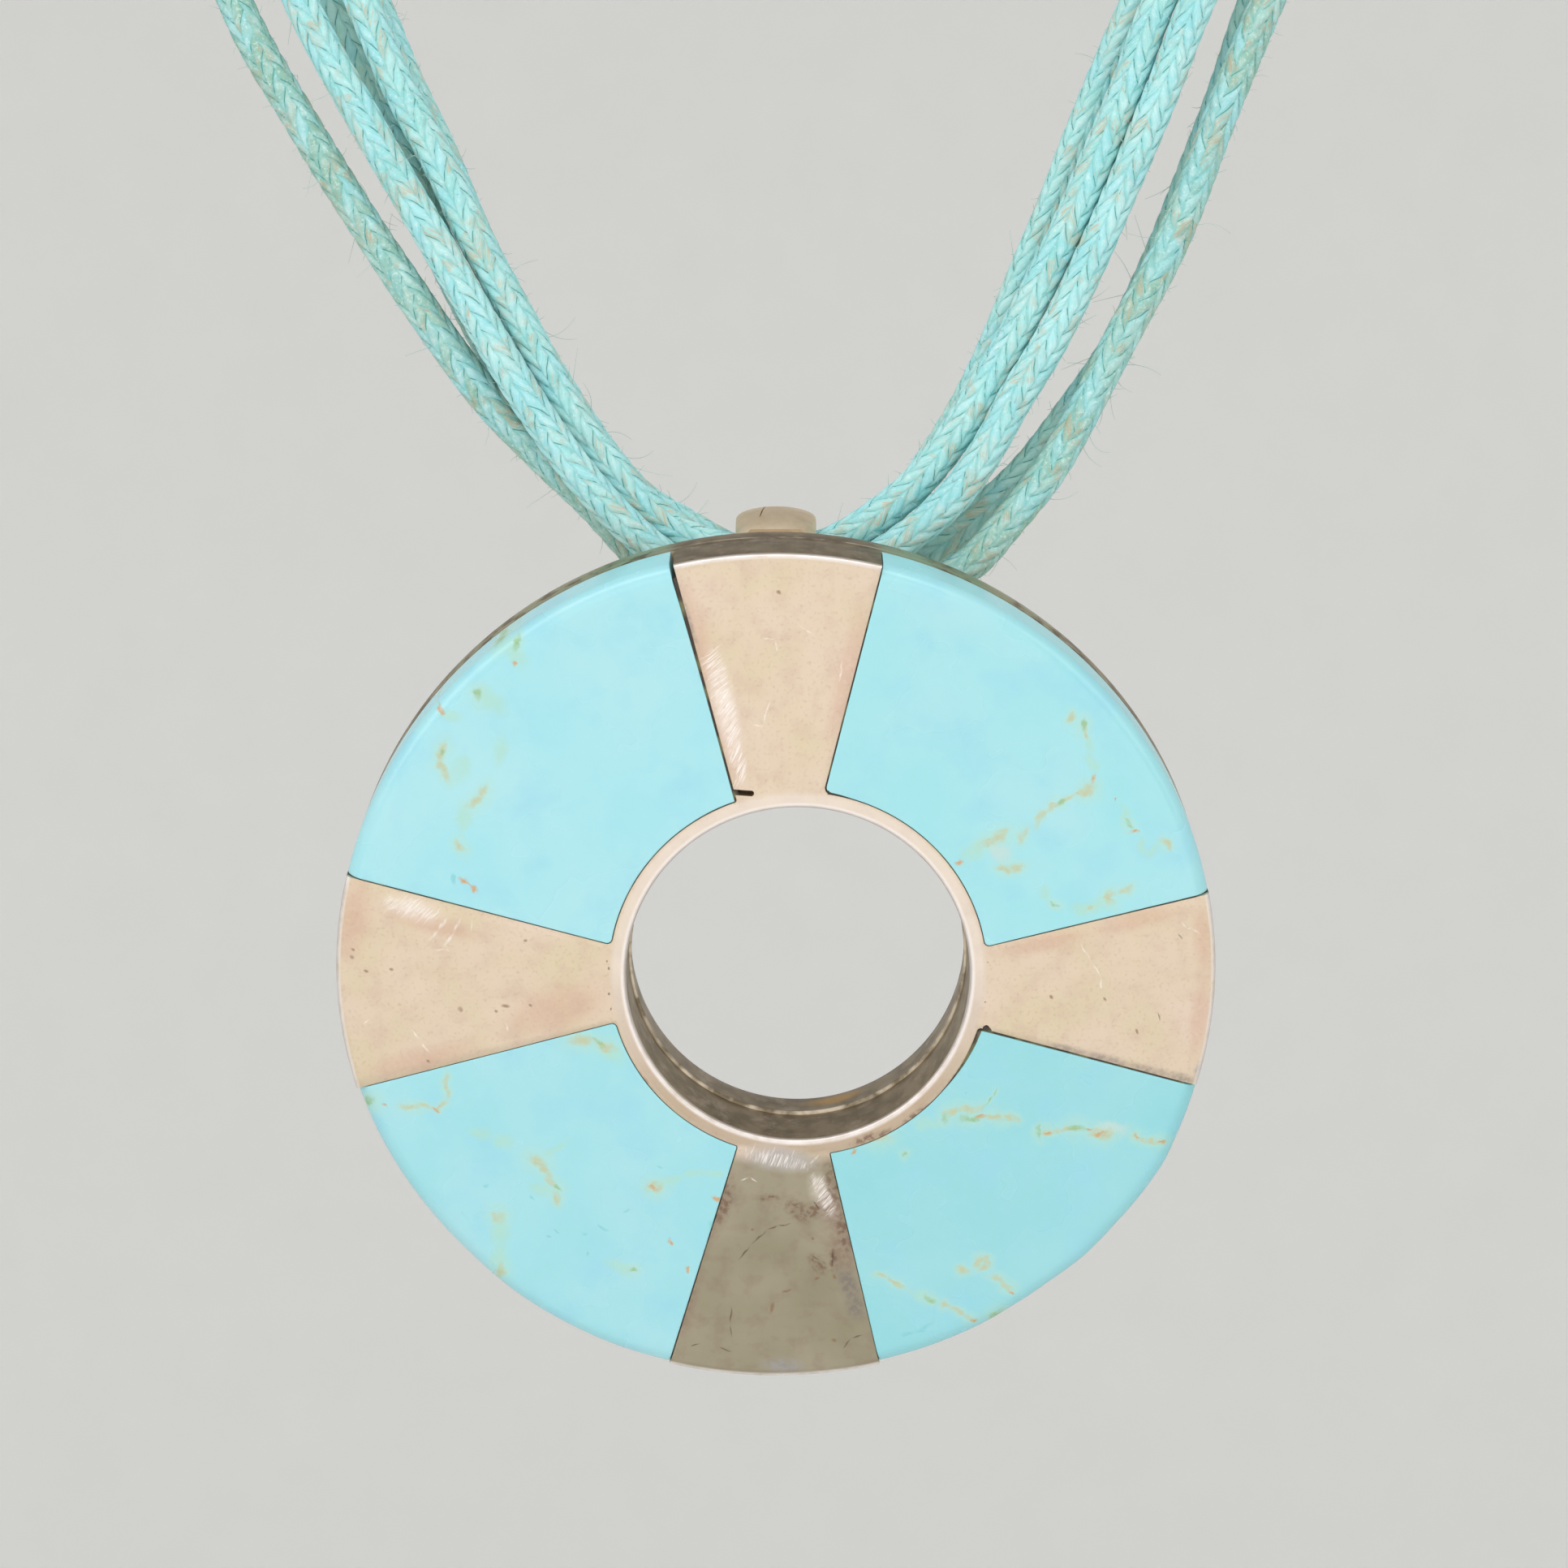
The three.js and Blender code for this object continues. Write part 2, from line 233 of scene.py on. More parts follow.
def finished(name, bm, material=None, to_row=face_to_row, smooth=True):
    """Writes a bmesh to an object at the origin, laid in its place by to_row."""
    bm.transform(to_row)
    mesh = bpy.data.meshes.new(name)
    bm.to_mesh(mesh)
    bm.free()
    if smooth:
        shaded(mesh)
    return stood(name, mesh, material)


def dress(piece, body, node=None):
    """Puts a piece on its body, in the place of a solid where it has one, and hides that solid."""
    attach(piece, body)
    if node:
        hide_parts(node)


def cut(piece, *cutters):
    """Cuts pieces out of another and throws the cutters away."""
    for cutter in cutters:
        tool = piece.modifiers.new("cut", "BOOLEAN")
        tool.operation = "DIFFERENCE"
        tool.solver = "EXACT"
        tool.object = cutter
    bpy.context.view_layer.update()
    whole = piece.evaluated_get(bpy.context.evaluated_depsgraph_get())
    mesh = bpy.data.meshes.new_from_object(whole)
    piece.modifiers.clear()
    piece.data = mesh
    shaded(mesh)
    for cutter in cutters:
        bpy.data.objects.remove(cutter)


def weld(bm, distance=1e-3):
    """Merges doubles, and then turns every face outwards."""
    bmesh.ops.remove_doubles(bm, verts=bm.verts, dist=distance)
    bmesh.ops.recalc_face_normals(bm, faces=bm.faces)


def turned(bm, outline, axis, steps, centre=(0, 0, 0), closed=False):
    """Turns an outline once round an axis, as on a lathe."""
    points = [bm.verts.new(place) for place in outline]
    edges = [bm.edges.new(pair) for pair in zip(points, points[1:] + points[:1] * closed)]
    bmesh.ops.spin(
        bm, geom=points + edges, cent=centre, axis=[float(letter == axis) for letter in "XYZ"],
        dvec=(0, 0, 0), angle=2 * math.pi, steps=steps, use_merge=True,
    )


def thickened(bm, back):
    """Gives a sheet its thickness, down to a flat back."""
    pulled = bmesh.ops.extrude_face_region(bm, geom=list(bm.faces))
    for corner in (e for e in pulled["geom"] if isinstance(e, bmesh.types.BMVert)):
        corner.co.z = back
    bmesh.ops.recalc_face_normals(bm, faces=bm.faces)


def eased(bm, edges, width, segments):
    """Rounds edges over."""
    bmesh.ops.bevel(
        bm, geom=edges, offset=width, segments=segments, profile=0.5, affect="EDGES", material=-1,
        clamp_overlap=True,
    )


def woven_grid(bm, across, rows, place):
    """A grid of faces laid by place(column, row), which gives each corner's point in mm."""
    made = bmesh.ops.create_grid(bm, x_segments=across, y_segments=rows, size=0.5)
    for corner in made["verts"]:
        column = round((corner.co.x + 0.5) * across)
        row = round((corner.co.y + 0.5) * rows)
        corner.co = place(column, row)


def hole_point(angle, grow):
    """A point on the hole's ellipse, grown outwards by grow."""
    return HOLE_CENTRE + Vector(
        ((HOLE_RADII.x + grow) * math.cos(angle), (HOLE_RADII.y + grow) * math.sin(angle))
    )


def rim_point(angle, radius=RIM_RADIUS):
    """A point on the disc's rim, or on another circle about its middle."""
    return Vector((radius * math.cos(angle), radius * math.sin(angle)))


def outward_crossing(start, along, centre, radii):
    """How far a line goes from start before it leaves an ellipse."""
    p = Vector(((start.x - centre.x) / radii.x, (start.y - centre.y) / radii.y))
    d = Vector((along.x / radii.x, along.y / radii.y))
    a, b, c = d.dot(d), 2 * p.dot(d), p.dot(p) - 1
    return (-b + math.sqrt(b * b - 4 * a * c)) / (2 * a)


def joint(ring_corner, rim_corner):
    """A joint line's angles: round the ring's outer ellipse, and round the rim."""
    start = Vector(ring_corner)
    along = (Vector(rim_corner) - start).normalized()
    grown = HOLE_RADII + Vector((RING_WALL, RING_WALL))
    inner = start + along * outward_crossing(start, along, HOLE_CENTRE, grown)
    outer = start + along * outward_crossing(start, along, Vector((0, 0)), Vector((RIM_RADIUS, RIM_RADIUS)))
    ring_angle = math.atan2((inner.y - HOLE_CENTRE.y) / grown.y, (inner.x - HOLE_CENTRE.x) / grown.x)
    return ring_angle, math.atan2(outer.y, outer.x)


def clockwise(start, end):
    """A pair of angles, the end brought to within a turn clockwise of the start."""
    while end > start:
        end -= 2 * math.pi
    return start, end


def spans():
    """The slabs and wedges in order, clockwise from the top wedge: (kind, ring angles, rim angles)."""
    joints = [joint(*line[:2]) for lines in WEDGE_JOINTS.values() for line in lines]
    kinds = ["top", "upper_right", "right", "lower_right", "bottom", "lower_left", "left", "upper_left"]
    return [
        (kind, clockwise(ring_a, ring_b), clockwise(rim_a, rim_b))
        for kind, (ring_a, rim_a), (ring_b, rim_b) in zip(kinds, joints, joints[1:] + joints[:1])
    ]


def between(pair, share):
    """The value at a share of the way from the first of a pair to the second."""
    return pair[0] + (pair[1] - pair[0]) * share


def packed(count, close, reach, both_ends):
    """count + 1 shares from 0 to 1, with the first few close together, and the last few too where both
    ends need it, for the small round corners at the ring."""
    start = [reach * i / close for i in range(close)]
    if not both_ends:
        return start + [reach + (1 - reach) * i / (count - close) for i in range(count - close + 1)]
    middle = count - 2 * close
    start += [reach + (1 - 2 * reach) * i / middle for i in range(middle + 1)]
    return start + [1 - reach * i / close for i in range(close - 1, -1, -1)]


def ring_corners():
    """Each joint's corner at the ring: its place, the way along the joint, the way along the ring to the
    stone, and its radius."""
    found = []
    for lines in WEDGE_JOINTS.values():
        for (ring_corner, rim_corner, radius), turn in zip(lines, (0.02, -0.02)):
            ring_angle, rim_angle = joint(ring_corner, rim_corner)
            corner = hole_point(ring_angle, RING_WALL)
            along = (rim_point(rim_angle) - corner).normalized()
            beside = (hole_point(ring_angle + turn, RING_WALL) - corner).normalized()
            found.append((corner, along, beside, radius))
    return found


def soften_corner(flat, corner, along, beside, radius):
    """Moves a place in the square at a corner so that the square's outline becomes the corner's arc."""
    away = flat - corner
    cross = along.cross(beside)
    a = away.cross(beside) / cross
    b = along.cross(away) / cross
    if not (-1e-4 < a < radius and -1e-4 < b < radius):
        return flat
    toward = Vector((a - radius, b - radius))
    toward *= max(abs(toward.x), abs(toward.y)) / toward.length
    return corner + along * (toward.x + radius) + beside * (toward.y + radius)


def hand_finish(x, y, seed, height):
    """How far a hand-filed or hand-ground face stands up or down at a place: long soft waves."""
    broad, small = (noise.noise(Vector((x / wave, y / wave, seed))) for wave in (5.5, 2))
    return height * (broad + 0.4 * small)


# --- materials ---


def colour(code):
    """An sRGB hex colour as linear light."""
    parts = [int(code[i : i + 2], 16) / 255 for i in (1, 3, 5)]
    return tuple(c / 12.92 if c <= 0.04045 else ((c + 0.055) / 1.055) ** 2.4 for c in parts) + (1,)


def add_node(tree, kind, *inputs, output=0, **named):
    """Adds one shader node and gives one of its outputs. Its inputs come in order or by name, starting with a
    capital, and each is fed from an output or set to a value. Its settings start with a small letter."""
    made = tree.nodes.new("ShaderNode" + kind)
    for name, value in named.items():
        if name[0].islower():
            setattr(made, name, value)
    fed = [(name, value) for name, value in named.items() if name[0].isupper()]
    for name, value in [*enumerate(inputs), *fed]:
        if isinstance(value, bpy.types.NodeSocket):
            tree.links.new(value, made.inputs[name])
        else:
            made.inputs[name].default_value = value
    return made.outputs[output]


def socket(shader, name):
    """A shader's socket, by its name in plain small letters."""
    return shader.inputs[name.replace("_", " ").title().replace("Ior", "IOR")]


def started(name, **fixed):
    """A material with its even values on the shader's own sockets, what adds nodes to it, and its shader."""
    material = bpy.data.materials.new(name)
    material.use_nodes = True
    shader = material.node_tree.nodes["Principled BSDF"]
    for plain_name, value in fixed.items():
        socket(shader, plain_name).default_value = value
    return material, partial(add_node, material.node_tree), shader


def feed(shader, **outputs):
    """Links outputs to the shader's sockets."""
    for plain_name, output in outputs.items():
        shader.id_data.links.new(output, socket(shader, plain_name))


def where(add, *ramps, smooth=False):
    """How far all of some ramps are up, as their product. A ramp is a value, where it starts and where it is
    up, and then its most and its least, or it is a share that was found before."""
    shares = []
    for ramp in ramps:
        if isinstance(ramp, tuple):
            ends = dict(zip(("Value", "From Min", "From Max", "To Max", "To Min"), ramp))
            ramp = add("MapRange", interpolation_type="SMOOTHSTEP" if smooth else "LINEAR", **ends)
        shares.append(ramp)
    return reduce(lambda share, ramp: add("Math", share, ramp, operation="MULTIPLY"), shares)


def coated(add, tint, *coats):
    """A colour with coats over it, one after another: each is its colour, and the ramps for where it lies.
    Each colour is a hex code or an output."""
    for over, *ramps in coats:
        below, over = (colour(paint) if isinstance(paint, str) else paint for paint in (tint, over))
        tint = add("MixRGB", where(add, *ramps), below, over)
    return tint


def face_place(add):
    """The place on the disc's face in mm, from the object's own coordinates."""
    lean = -(math.pi / 2 + TILT)
    shift = BAIL_CENTRE - Matrix.Rotation(lean, 3, "X") @ (bail_axis / MM)
    own = add("TexCoord", output="Object")
    return add("Mapping", Vector=own, Location=shift, Rotation=(lean, 0, 0), Scale=[1 / MM] * 3)


def row_place(add):
    """The place in the row frame, in mm."""
    return add("Mapping", Vector=add("TexCoord", output="Object"), Scale=[1 / MM] * 3)


def far_from(add, at, place, reach, turn=0.0):
    """How far a place is from another, as a share of the reach along each axis, with the axes turned."""
    about = {"Location": place, "Rotation": (0, 0, turn), "Scale": reach}
    inside = add("Mapping", Vector=at, vector_type="TEXTURE", **about)
    return add("VectorMath", inside, output="Value", operation="LENGTH")


def nearest(add, at, lines):
    """How far a place is from the nearest of some lines on the face: 0 on a line and 1 at its edge. Each line
    is its width and its places. What is found so far goes in as the next line's far too small height, so that
    the renderer works through the lines one by one and never has to hold them all."""
    found = None
    x, y = (add("SeparateXYZ", at, output=axis) for axis in "XY")
    for width, places in lines:
        for start, end in zip(places, places[1:]):
            start, end = Vector(start), Vector(end)
            run = end - start
            reach = ((run.length + width) / 2, width / 2, 1e4)
            flat = add("CombineXYZ", x, y, 0.0 if found is None else found)
            far = far_from(add, flat, (*(start + end) / 2, 0), reach, math.atan2(run.y, run.x))
            found = far if found is None else add("Math", found, far, operation="MINIMUM")
    return found


def wandered(add, at, wave, reach):
    """The place on the face pushed about by soft noise: one wave every wave mm, up to half of reach mm."""
    noise_here = add("TexNoise", Vector=at, Scale=1 / wave, Detail=2.0, output="Color")
    centred = add("VectorMath", noise_here, (0.5, 0.5, 0.5), operation="SUBTRACT")
    pushed = add("VectorMath", centred, (reach, reach, 0), operation="MULTIPLY")
    return add("VectorMath", at, pushed, operation="ADD")


def painted_lines(add, at, surface, lines, tones, broken):
    """A surface's colour with charted lines over it, tone by tone. A tone is its colour, its strength, how
    much of it breaks up, and how many times wider than its core its soft edge reaches."""
    masks = {}
    for tone, (code, strength, gaps, soft) in tones.items():
        if tone in lines:
            far = nearest(add, at, [(width * soft, places) for width, places in lines[tone]])
            shape = where(add, (far, 1.0, 0.35 / soft, strength), smooth=True)
            masks[tone] = where(add, shape, (broken, 0.3 + 0.2 * gaps, 0.42 + 0.25 * gaps, 1.0, 1 - gaps))
            surface = coated(add, surface, (code, masks[tone]))
    return surface, masks


def studio_paper():
    """Seamless studio paper, rolled and matt: a plain pale grey with hardly any tooth. Real tooth is far too
    fine to show, so it is drawn as soft patches."""
    material, add, shader = started("paper_seamless_matt", roughness=0.9)
    patches_per_metre = 30.0
    tooth = add("TexNoise", Vector=add("TexCoord", output="Object"), Scale=patches_per_metre)
    feed(shader, base_color=coated(add, "#F6F6F4", ("#FAFAF8", tooth)))
    return material


def braid_place(add):
    """Where a place lies in a strand's braid: how far across its float, from -0.5 to 0.5, how far along the
    column from 0 to 1, the float's own number, and the place along the strand in mm."""
    where_on_braid = add("UVMap", uv_map="braid")
    turn, along = (add("SeparateXYZ", where_on_braid, output=axis) for axis in "XY")
    plaits = add("Math", along, PLAIT_PITCH, operation="DIVIDE")
    angle = add("Math", plaits, 2 * math.pi, operation="MULTIPLY")
    swing = add("Math", angle, operation="COSINE")
    waver = add("Math", swing, -COLUMN_WAVER, turn, operation="MULTIPLY_ADD")
    column = add("Math", waver, operation="FLOOR")
    share = add("Math", waver, column, operation="SUBTRACT")
    odd = add("Math", column, 2.0, operation="FLOORED_MODULO")
    mirrored = add("Math", 1.0, share, operation="SUBTRACT")
    slant = add("Mix", Factor=odd, A=share, B=mirrored, data_type="FLOAT")
    rise = add("Math", slant, FLOAT_RISE, plaits, operation="MULTIPLY_ADD")
    phase = add("Math", odd, 0.5, rise, operation="MULTIPLY_ADD")
    number = add("Math", phase, operation="FLOOR")
    fraction = add("Math", phase, number, operation="SUBTRACT")
    across = add("Math", fraction, 0.5, operation="SUBTRACT")
    column_number = add("Math", column, float(BRAID_COLUMNS), operation="FLOORED_MODULO")
    which = add("CombineXYZ", column_number, number)
    return across, share, which, along


def waxed_cotton(name, clean, shade, tan):
    """Waxed cotton cord, dyed and then braided: pale fibrous floats with a dry wax bloom, painted shade in the
    valleys between the floats and where their ends tuck under, a short painted shade here and there in the
    seam where one float dips under the next, and tan threads where the dye has worn off."""
    material, add, shader = started(name, roughness=0.8, specular_ior_level=0.25)
    across, share, which, along = braid_place(add)
    luck = add("TexWhiteNoise", Vector=which)
    hue = add("TexWhiteNoise", Vector=which, W=3.7, noise_dimensions="4D")
    at = row_place(add)
    dye_lot, bloom_size, dust_size, worn_size, gap_size = 3.0, 0.7, 0.22, 1.3, 0.8
    patches = add("TexNoise", Vector=at, Scale=1 / dye_lot, Detail=3.0)
    bloom = add("TexNoise", Vector=at, Scale=1 / bloom_size, Detail=4.0, Roughness=0.65)
    dust = add("TexNoise", Vector=at, Scale=1 / dust_size, Detail=2.0, Roughness=0.7)
    worn = add("TexNoise", Vector=at, Scale=1 / worn_size, Detail=3.0, Distortion=0.4)
    gaps = add("TexNoise", Vector=at, Scale=1 / gap_size, Detail=2.0)
    # Real fibres are too fine to show, so these are about 0.09 mm thick and 1.2 mm long: so many to a float's
    # width, so many to a mm along it, and shifted from float to float.
    fibres_across, fibres_along, shift = 14.0, 0.8, 9.0
    spun = [
        add("Math", value, times, operation="MULTIPLY")
        for value, times in ((across, fibres_across), (along, fibres_along), (luck, shift))
    ]
    fibres = add("TexNoise", Vector=add("CombineXYZ", *spun), Scale=1.0, Detail=3.0, Roughness=0.6)
    blue_lot = add("Math", hue, 0.35, patches, operation="MULTIPLY_ADD")

    half_across = add("Math", across, operation="ABSOLUTE")
    from_middle = add("Math", half_across, 2.0, operation="MULTIPLY")
    valley = add("Math", from_middle, 3.0, operation="POWER")
    from_half = add("Math", share, 0.5, operation="SUBTRACT")
    from_end = add("Math", from_half, operation="ABSOLUTE")
    tuck = where(add, (from_end, 0.34, 0.5, 0.8), smooth=True)
    low = add("Math", valley, tuck, operation="MAXIMUM")
    seam = where(add, (across, 0.38, 0.48), smooth=True)

    tint = coated(
        add, clean,
        (shade, (patches, 0.36, 0.66)),
        ("#CEF0EE", (luck, 0.3, 1.0, 0.4)),
        ("#A2E4EE", (blue_lot, 0.66, 0.85, 0.6)),
        ("#D8F4F3", (bloom, 0.46, 0.68, 0.5)),
        ("#E4F7F4", (dust, 0.54, 0.7, 0.6)),
        (tan, (worn, 0.48, 0.6), (fibres, 0.44, 0.56), (hue, 0.85, 0.4, 0.8)),
        ("#7CC8C4", (fibres, 0.5, 0.3, 0.45)),
        # Painted shade in the valleys between the floats and where their ends tuck under.
        ("#74C0BE", (low, 0.0, 1.0, 0.48)),
        # Painted shade in the seam where one float dips under the next, here and there.
        ("#368884", seam, (gaps, 0.47, 0.57, 0.9)),
    )
    fluff = add("Math", fibres, 0.9, operation="MULTIPLY")
    height = add("Math", low, -1.0, fluff, operation="MULTIPLY_ADD")
    relief = add("Bump", Strength=0.6, Distance=0.05 * MM, Height=height, output="Normal")
    feed(shader, base_color=tint, normal=relief)
    return material


def cotton_fibre():
    """Loose cotton fibres pulled out of the braid: pale, thin and dry."""
    material, add, shader = started("cotton_loose_fibre", roughness=0.9)
    lot_size = 2.0
    lot = add("TexNoise", Vector=row_place(add), Scale=1 / lot_size)
    feed(shader, base_color=coated(add, "#8CCAC2", ("#CBD8CC", lot)))
    return material


def charted(lines):
    """A chart's lines by tone, each as its width and its places."""
    return {
        tone: [(width, list(zip(flat[::2], flat[1::2]))) for width, *flat in rows]
        for tone, rows in lines.items()
    }


# Turquoise matrix across each slab's face in mm, by tone. Its places were picked by eye and then worked out in
# mm by a scratch calculation: each line is the width of its core and then its places, x and y in turn.
# # mm: each line is the width of its core and then its places, x and y in turn.
MATRIX = {
    "upper_left": {
        "cloud": [
            (0.7, -14.6, 19.6, -14.1, 18.9), (0.8, -16.1, 16.9, -15.3, 16.1),
            (0.5, -18.5, 15.9, -17.7, 15.6), (0.7, -17.4, 13.2, -17.5, 12.3),
            (0.6, -15.2, 14.3, -15.5, 13.1), (0.5, -17.4, 10.4, -17.6, 9.0),
        ],
        "tan": [
            (0.35, -18.4, 14.2, -18.5, 13.5, -18.8, 13.0, -18.5, 12.6, -18.2, 12.0),
            (0.4, -16.1, 11.6, -16.4, 11.0, -17.4, 10.4), (0.35, -17.8, 8.3, -17.6, 7.8),
        ],
        "moss": [
            (0.5, -15.2, 20.2, -15.4, 19.9), (0.3, -14.2, 20.3, -14.3, 19.6),
            (0.35, -16.6, 17.1, -16.4, 16.6), (0.25, -18.4, 13.8, -18.5, 13.4),
        ],
        "rust": [
            (0.25, -14.6, 18.9, -14.4, 18.75), (0.3, -18.8, 16.4, -18.5, 15.9),
            (0.32, -17.65, 6.05, -17.4, 5.9), (0.3, -17.15, 5.7, -16.85, 5.5),
            (0.12, -17.4, 5.9, -17.1, 5.7),
        ],
        "teal": [(0.3, -18.1, 6.2, -18.1, 6.0)],
    },
    "upper_right": {
        "cloud": [
            (0.35, 17.3, 14.4, 17.5, 13.5, 17.7, 12.5), (0.7, 11.5, 8.1, 10.8, 7.4),
            (0.4, 19.4, 10.5, 19.7, 9.6), (0.4, 20.4, 8.6, 20.8, 7.5), (0.35, 21.5, 8.1, 20.9, 7.5),
            (0.6, 18.7, 4.8, 17.8, 4.3, 17.0, 4.3), (0.4, 15.0, 5.5, 15.3, 5.1),
        ],
        "blush": [(1.1, 12.4, 7.9, 12.9, 7.5)],
        "tan": [
            (0.25, 16.4, 15.8, 16.4, 15.6), (0.25, 17.2, 14.9, 17.3, 14.4),
            (0.4, 17.65, 11.7, 17.5, 11.3, 17.2, 11.15),
            (0.22, 17.2, 11.15, 16.7, 11.1, 15.9, 10.7, 15.0, 10.2, 14.5, 9.4), (0.28, 14.0, 9.2, 13.6, 8.3),
            (0.45, 12.9, 8.9, 12.2, 8.5, 11.6, 8.2), (0.35, 12.6, 6.75, 13.3, 6.7, 13.75, 6.95),
            (0.25, 21.8, 8.4, 22.1, 8.0), (0.3, 19.6, 5.5, 19.9, 5.6),
            (0.32, 19.1, 5.4, 18.7, 5.2, 18.9, 4.8), (0.2, 17.6, 4.2, 17.9, 4.4),
        ],
        "moss": [
            (0.35, 17.0, 15.3, 17.1, 15.0), (0.3, 15.8, 10.7, 16.1, 10.75), (0.25, 19.7, 9.5, 19.9, 9.2),
            (0.28, 15.7, 4.7, 15.85, 4.6),
        ],
        "rust": [
            (0.2, 17.7, 12.35, 17.7, 12.0), (0.3, 10.1, 7.2, 10.45, 7.2), (0.15, 19.0, 11.0, 19.0, 10.85),
            (0.2, 19.9, 8.9, 20.2, 8.9),
        ],
    },
    "lower_left": {
        "cloud": [
            (0.6, -17.3, -9.4, -16.8, -9.6), (0.6, -16.1, -9.8, -15.4, -10.0),
            (0.35, -13.4, -10.8, -12.1, -9.8), (0.6, -14.0, -12.8, -13.2, -13.1),
            (0.7, -16.0, -14.9, -16.1, -16.4, -16.1, -17.8),
            (0.4, -6.6, -12.5, -5.4, -12.2, -4.2, -11.9, -3.0, -12.0), (0.5, -9.8, -17.6, -8.5, -18.1),
            (0.6, -9.6, -4.4, -9.0, -4.8),
        ],
        "tan": [
            (0.25, -18.9, -5.4, -19.0, -7.4, -19.4, -8.0), (0.3, -21.8, -7.7, -19.6, -7.8),
            (0.5, -14.0, -11.0, -13.6, -11.3), (0.3, -13.7, -11.3, -13.3, -12.0, -12.8, -12.6),
            (0.35, -12.8, -13.2, -12.65, -13.7), (0.5, -16.3, -14.6, -16.0, -14.8),
            (0.45, -16.1, -17.9, -16.1, -18.4), (0.45, -7.2, -12.8, -6.7, -12.75),
            (0.5, -11.9, -3.6, -10.4, -3.7, -9.2, -4.2),
        ],
        "moss": [
            (0.5, -23.6, -7.5, -23.2, -7.3), (0.32, -12.75, -12.7, -12.55, -12.8),
            (0.3, -8.6, -18.1, -8.4, -18.2), (0.35, -10.3, -3.6, -9.9, -3.9),
        ],
        "rust": [
            (0.2, -22.6, -7.6, -22.4, -7.7), (0.25, -19.7, -7.8, -19.4, -8.0),
            (0.25, -7.2, -12.7, -7.0, -12.8), (0.28, -3.6, -13.3, -3.2, -13.4),
            (0.2, -6.05, -16.2, -5.9, -16.45), (0.2, -5.3, -18.1, -5.2, -18.2),
        ],
        "teal": [
            (0.2, -12.9, -15.5, -12.8, -15.6), (0.25, -13.3, -16.1, -13.2, -16.1),
            (0.2, -11.3, -15.7, -11.1, -15.8), (0.22, -10.2, -15.3, -10.0, -15.5),
            (0.18, -8.8, -14.4, -8.5, -14.3), (0.2, -11.0, -17.0, -11.0, -17.1),
            (0.22, -17.0, -12.6, -16.8, -12.6), (0.2, -14.3, -13.5, -14.1, -13.6),
            (0.18, -6.8, -11.4, -6.6, -11.4), (0.45, -3.2, -14.3, -3.9, -16.4),
        ],
    },
    "lower_right": {
        "cloud": [(0.5, 8.1, -8.8, 9.5, -8.8), (0.4, 7.6, -19.3, 9.7, -20.3)],
        "blush": [(0.9, 18.6, -9.1, 19.9, -9.2)],
        "tan": [
            (0.35, 9.7, -8.1, 10.4, -7.9, 11.9, -7.8), (0.38, 12.2, -8.3, 13.1, -8.4, 13.6, -8.6),
            (0.3, 13.5, -8.3, 13.9, -8.7), (0.28, 15.4, -9.3, 16.6, -9.2, 17.4, -9.2),
            (0.45, 18.2, -9.3, 18.7, -9.5, 19.2, -9.6),
            (0.35, 20.6, -9.4, 21.0, -9.7, 21.5, -9.9, 22.2, -9.9), (0.5, 5.4, -9.8, 6.5, -9.6),
            (0.28, 11.7, -17.8, 11.8, -17.4, 12.2, -17.4, 12.35, -17.8, 11.8, -18.0),
            (0.28, 10.7, -18.1, 11.3, -18.1), (0.32, 12.6, -18.5, 13.2, -18.9, 13.8, -19.4),
            (0.22, 5.8, -18.3, 6.4, -18.6, 7.6, -19.3),
            (0.3, 9.7, -20.3, 10.3, -20.5, 11.0, -21.0, 11.7, -21.45),
        ],
        "moss": [
            (0.12, 12.7, -6.7, 12.4, -7.2, 11.9, -7.8), (0.3, 9.7, -8.3, 9.8, -8.6),
            (0.4, 10.6, -8.5, 11.2, -8.5, 11.7, -8.4), (0.28, 15.2, -9.1, 15.2, -9.7),
            (0.5, 17.15, -9.1, 17.5, -9.1), (0.25, 7.3, -10.6, 7.4, -10.7), (0.3, 8.7, -19.8, 9.2, -20.1),
            (0.45, 12.6, -21.3, 13.2, -20.9),
        ],
        "rust": [
            (0.3, 11.7, -8.35, 12.1, -8.25), (0.2, 15.6, -9.3, 15.9, -9.3), (0.2, 17.8, -9.05, 18.1, -9.1),
            (0.28, 18.45, -9.5, 18.8, -9.5), (0.22, 20.7, -9.4, 20.9, -9.6), (0.2, 22.1, -9.9, 22.25, -9.9),
            (0.3, 4.3, -10.6, 4.5, -10.4), (0.2, 13.7, -19.5, 13.9, -19.6),
            (0.25, 11.45, -21.4, 11.8, -21.55),
        ],
        "teal": [(0.3, 7.3, -22.3, 8.2, -22.0, 9.1, -21.6)],
    },
}
# Each slab's own body colour and its paler clouds; the lower right slab's are darker.
STONES = {
    "upper_left": ("#9FDFE8", "#ABE2E9"),
    "upper_right": ("#9BDEE5", "#A8E0E7"),
    "lower_left": ("#9ADBE3", "#A7DEE6"),
    "lower_right": ("#8FD5DC", "#9AD8DF"),
}
# Each tone's colour, strength, how much of it breaks up, and how much wider its soft edge is.
MATRIX_TONES = {
    "haze": ("#B4DCCB", 0.6, 0.2, 5.0),
    "cloud": ("#ACDAC8", 0.65, 0.3, 2.2),
    "blush": ("#C3D9D2", 0.7, 0.2, 1.4),
    "tan": ("#C2BE8C", 0.75, 0.5, 2.0),
    "moss": ("#90B87C", 0.8, 0.5, 1.6),
    "rust": ("#CE9A5E", 0.9, 0.35, 1.5),
    "teal": ("#7CCBD3", 0.7, 0.3, 1.5),
}


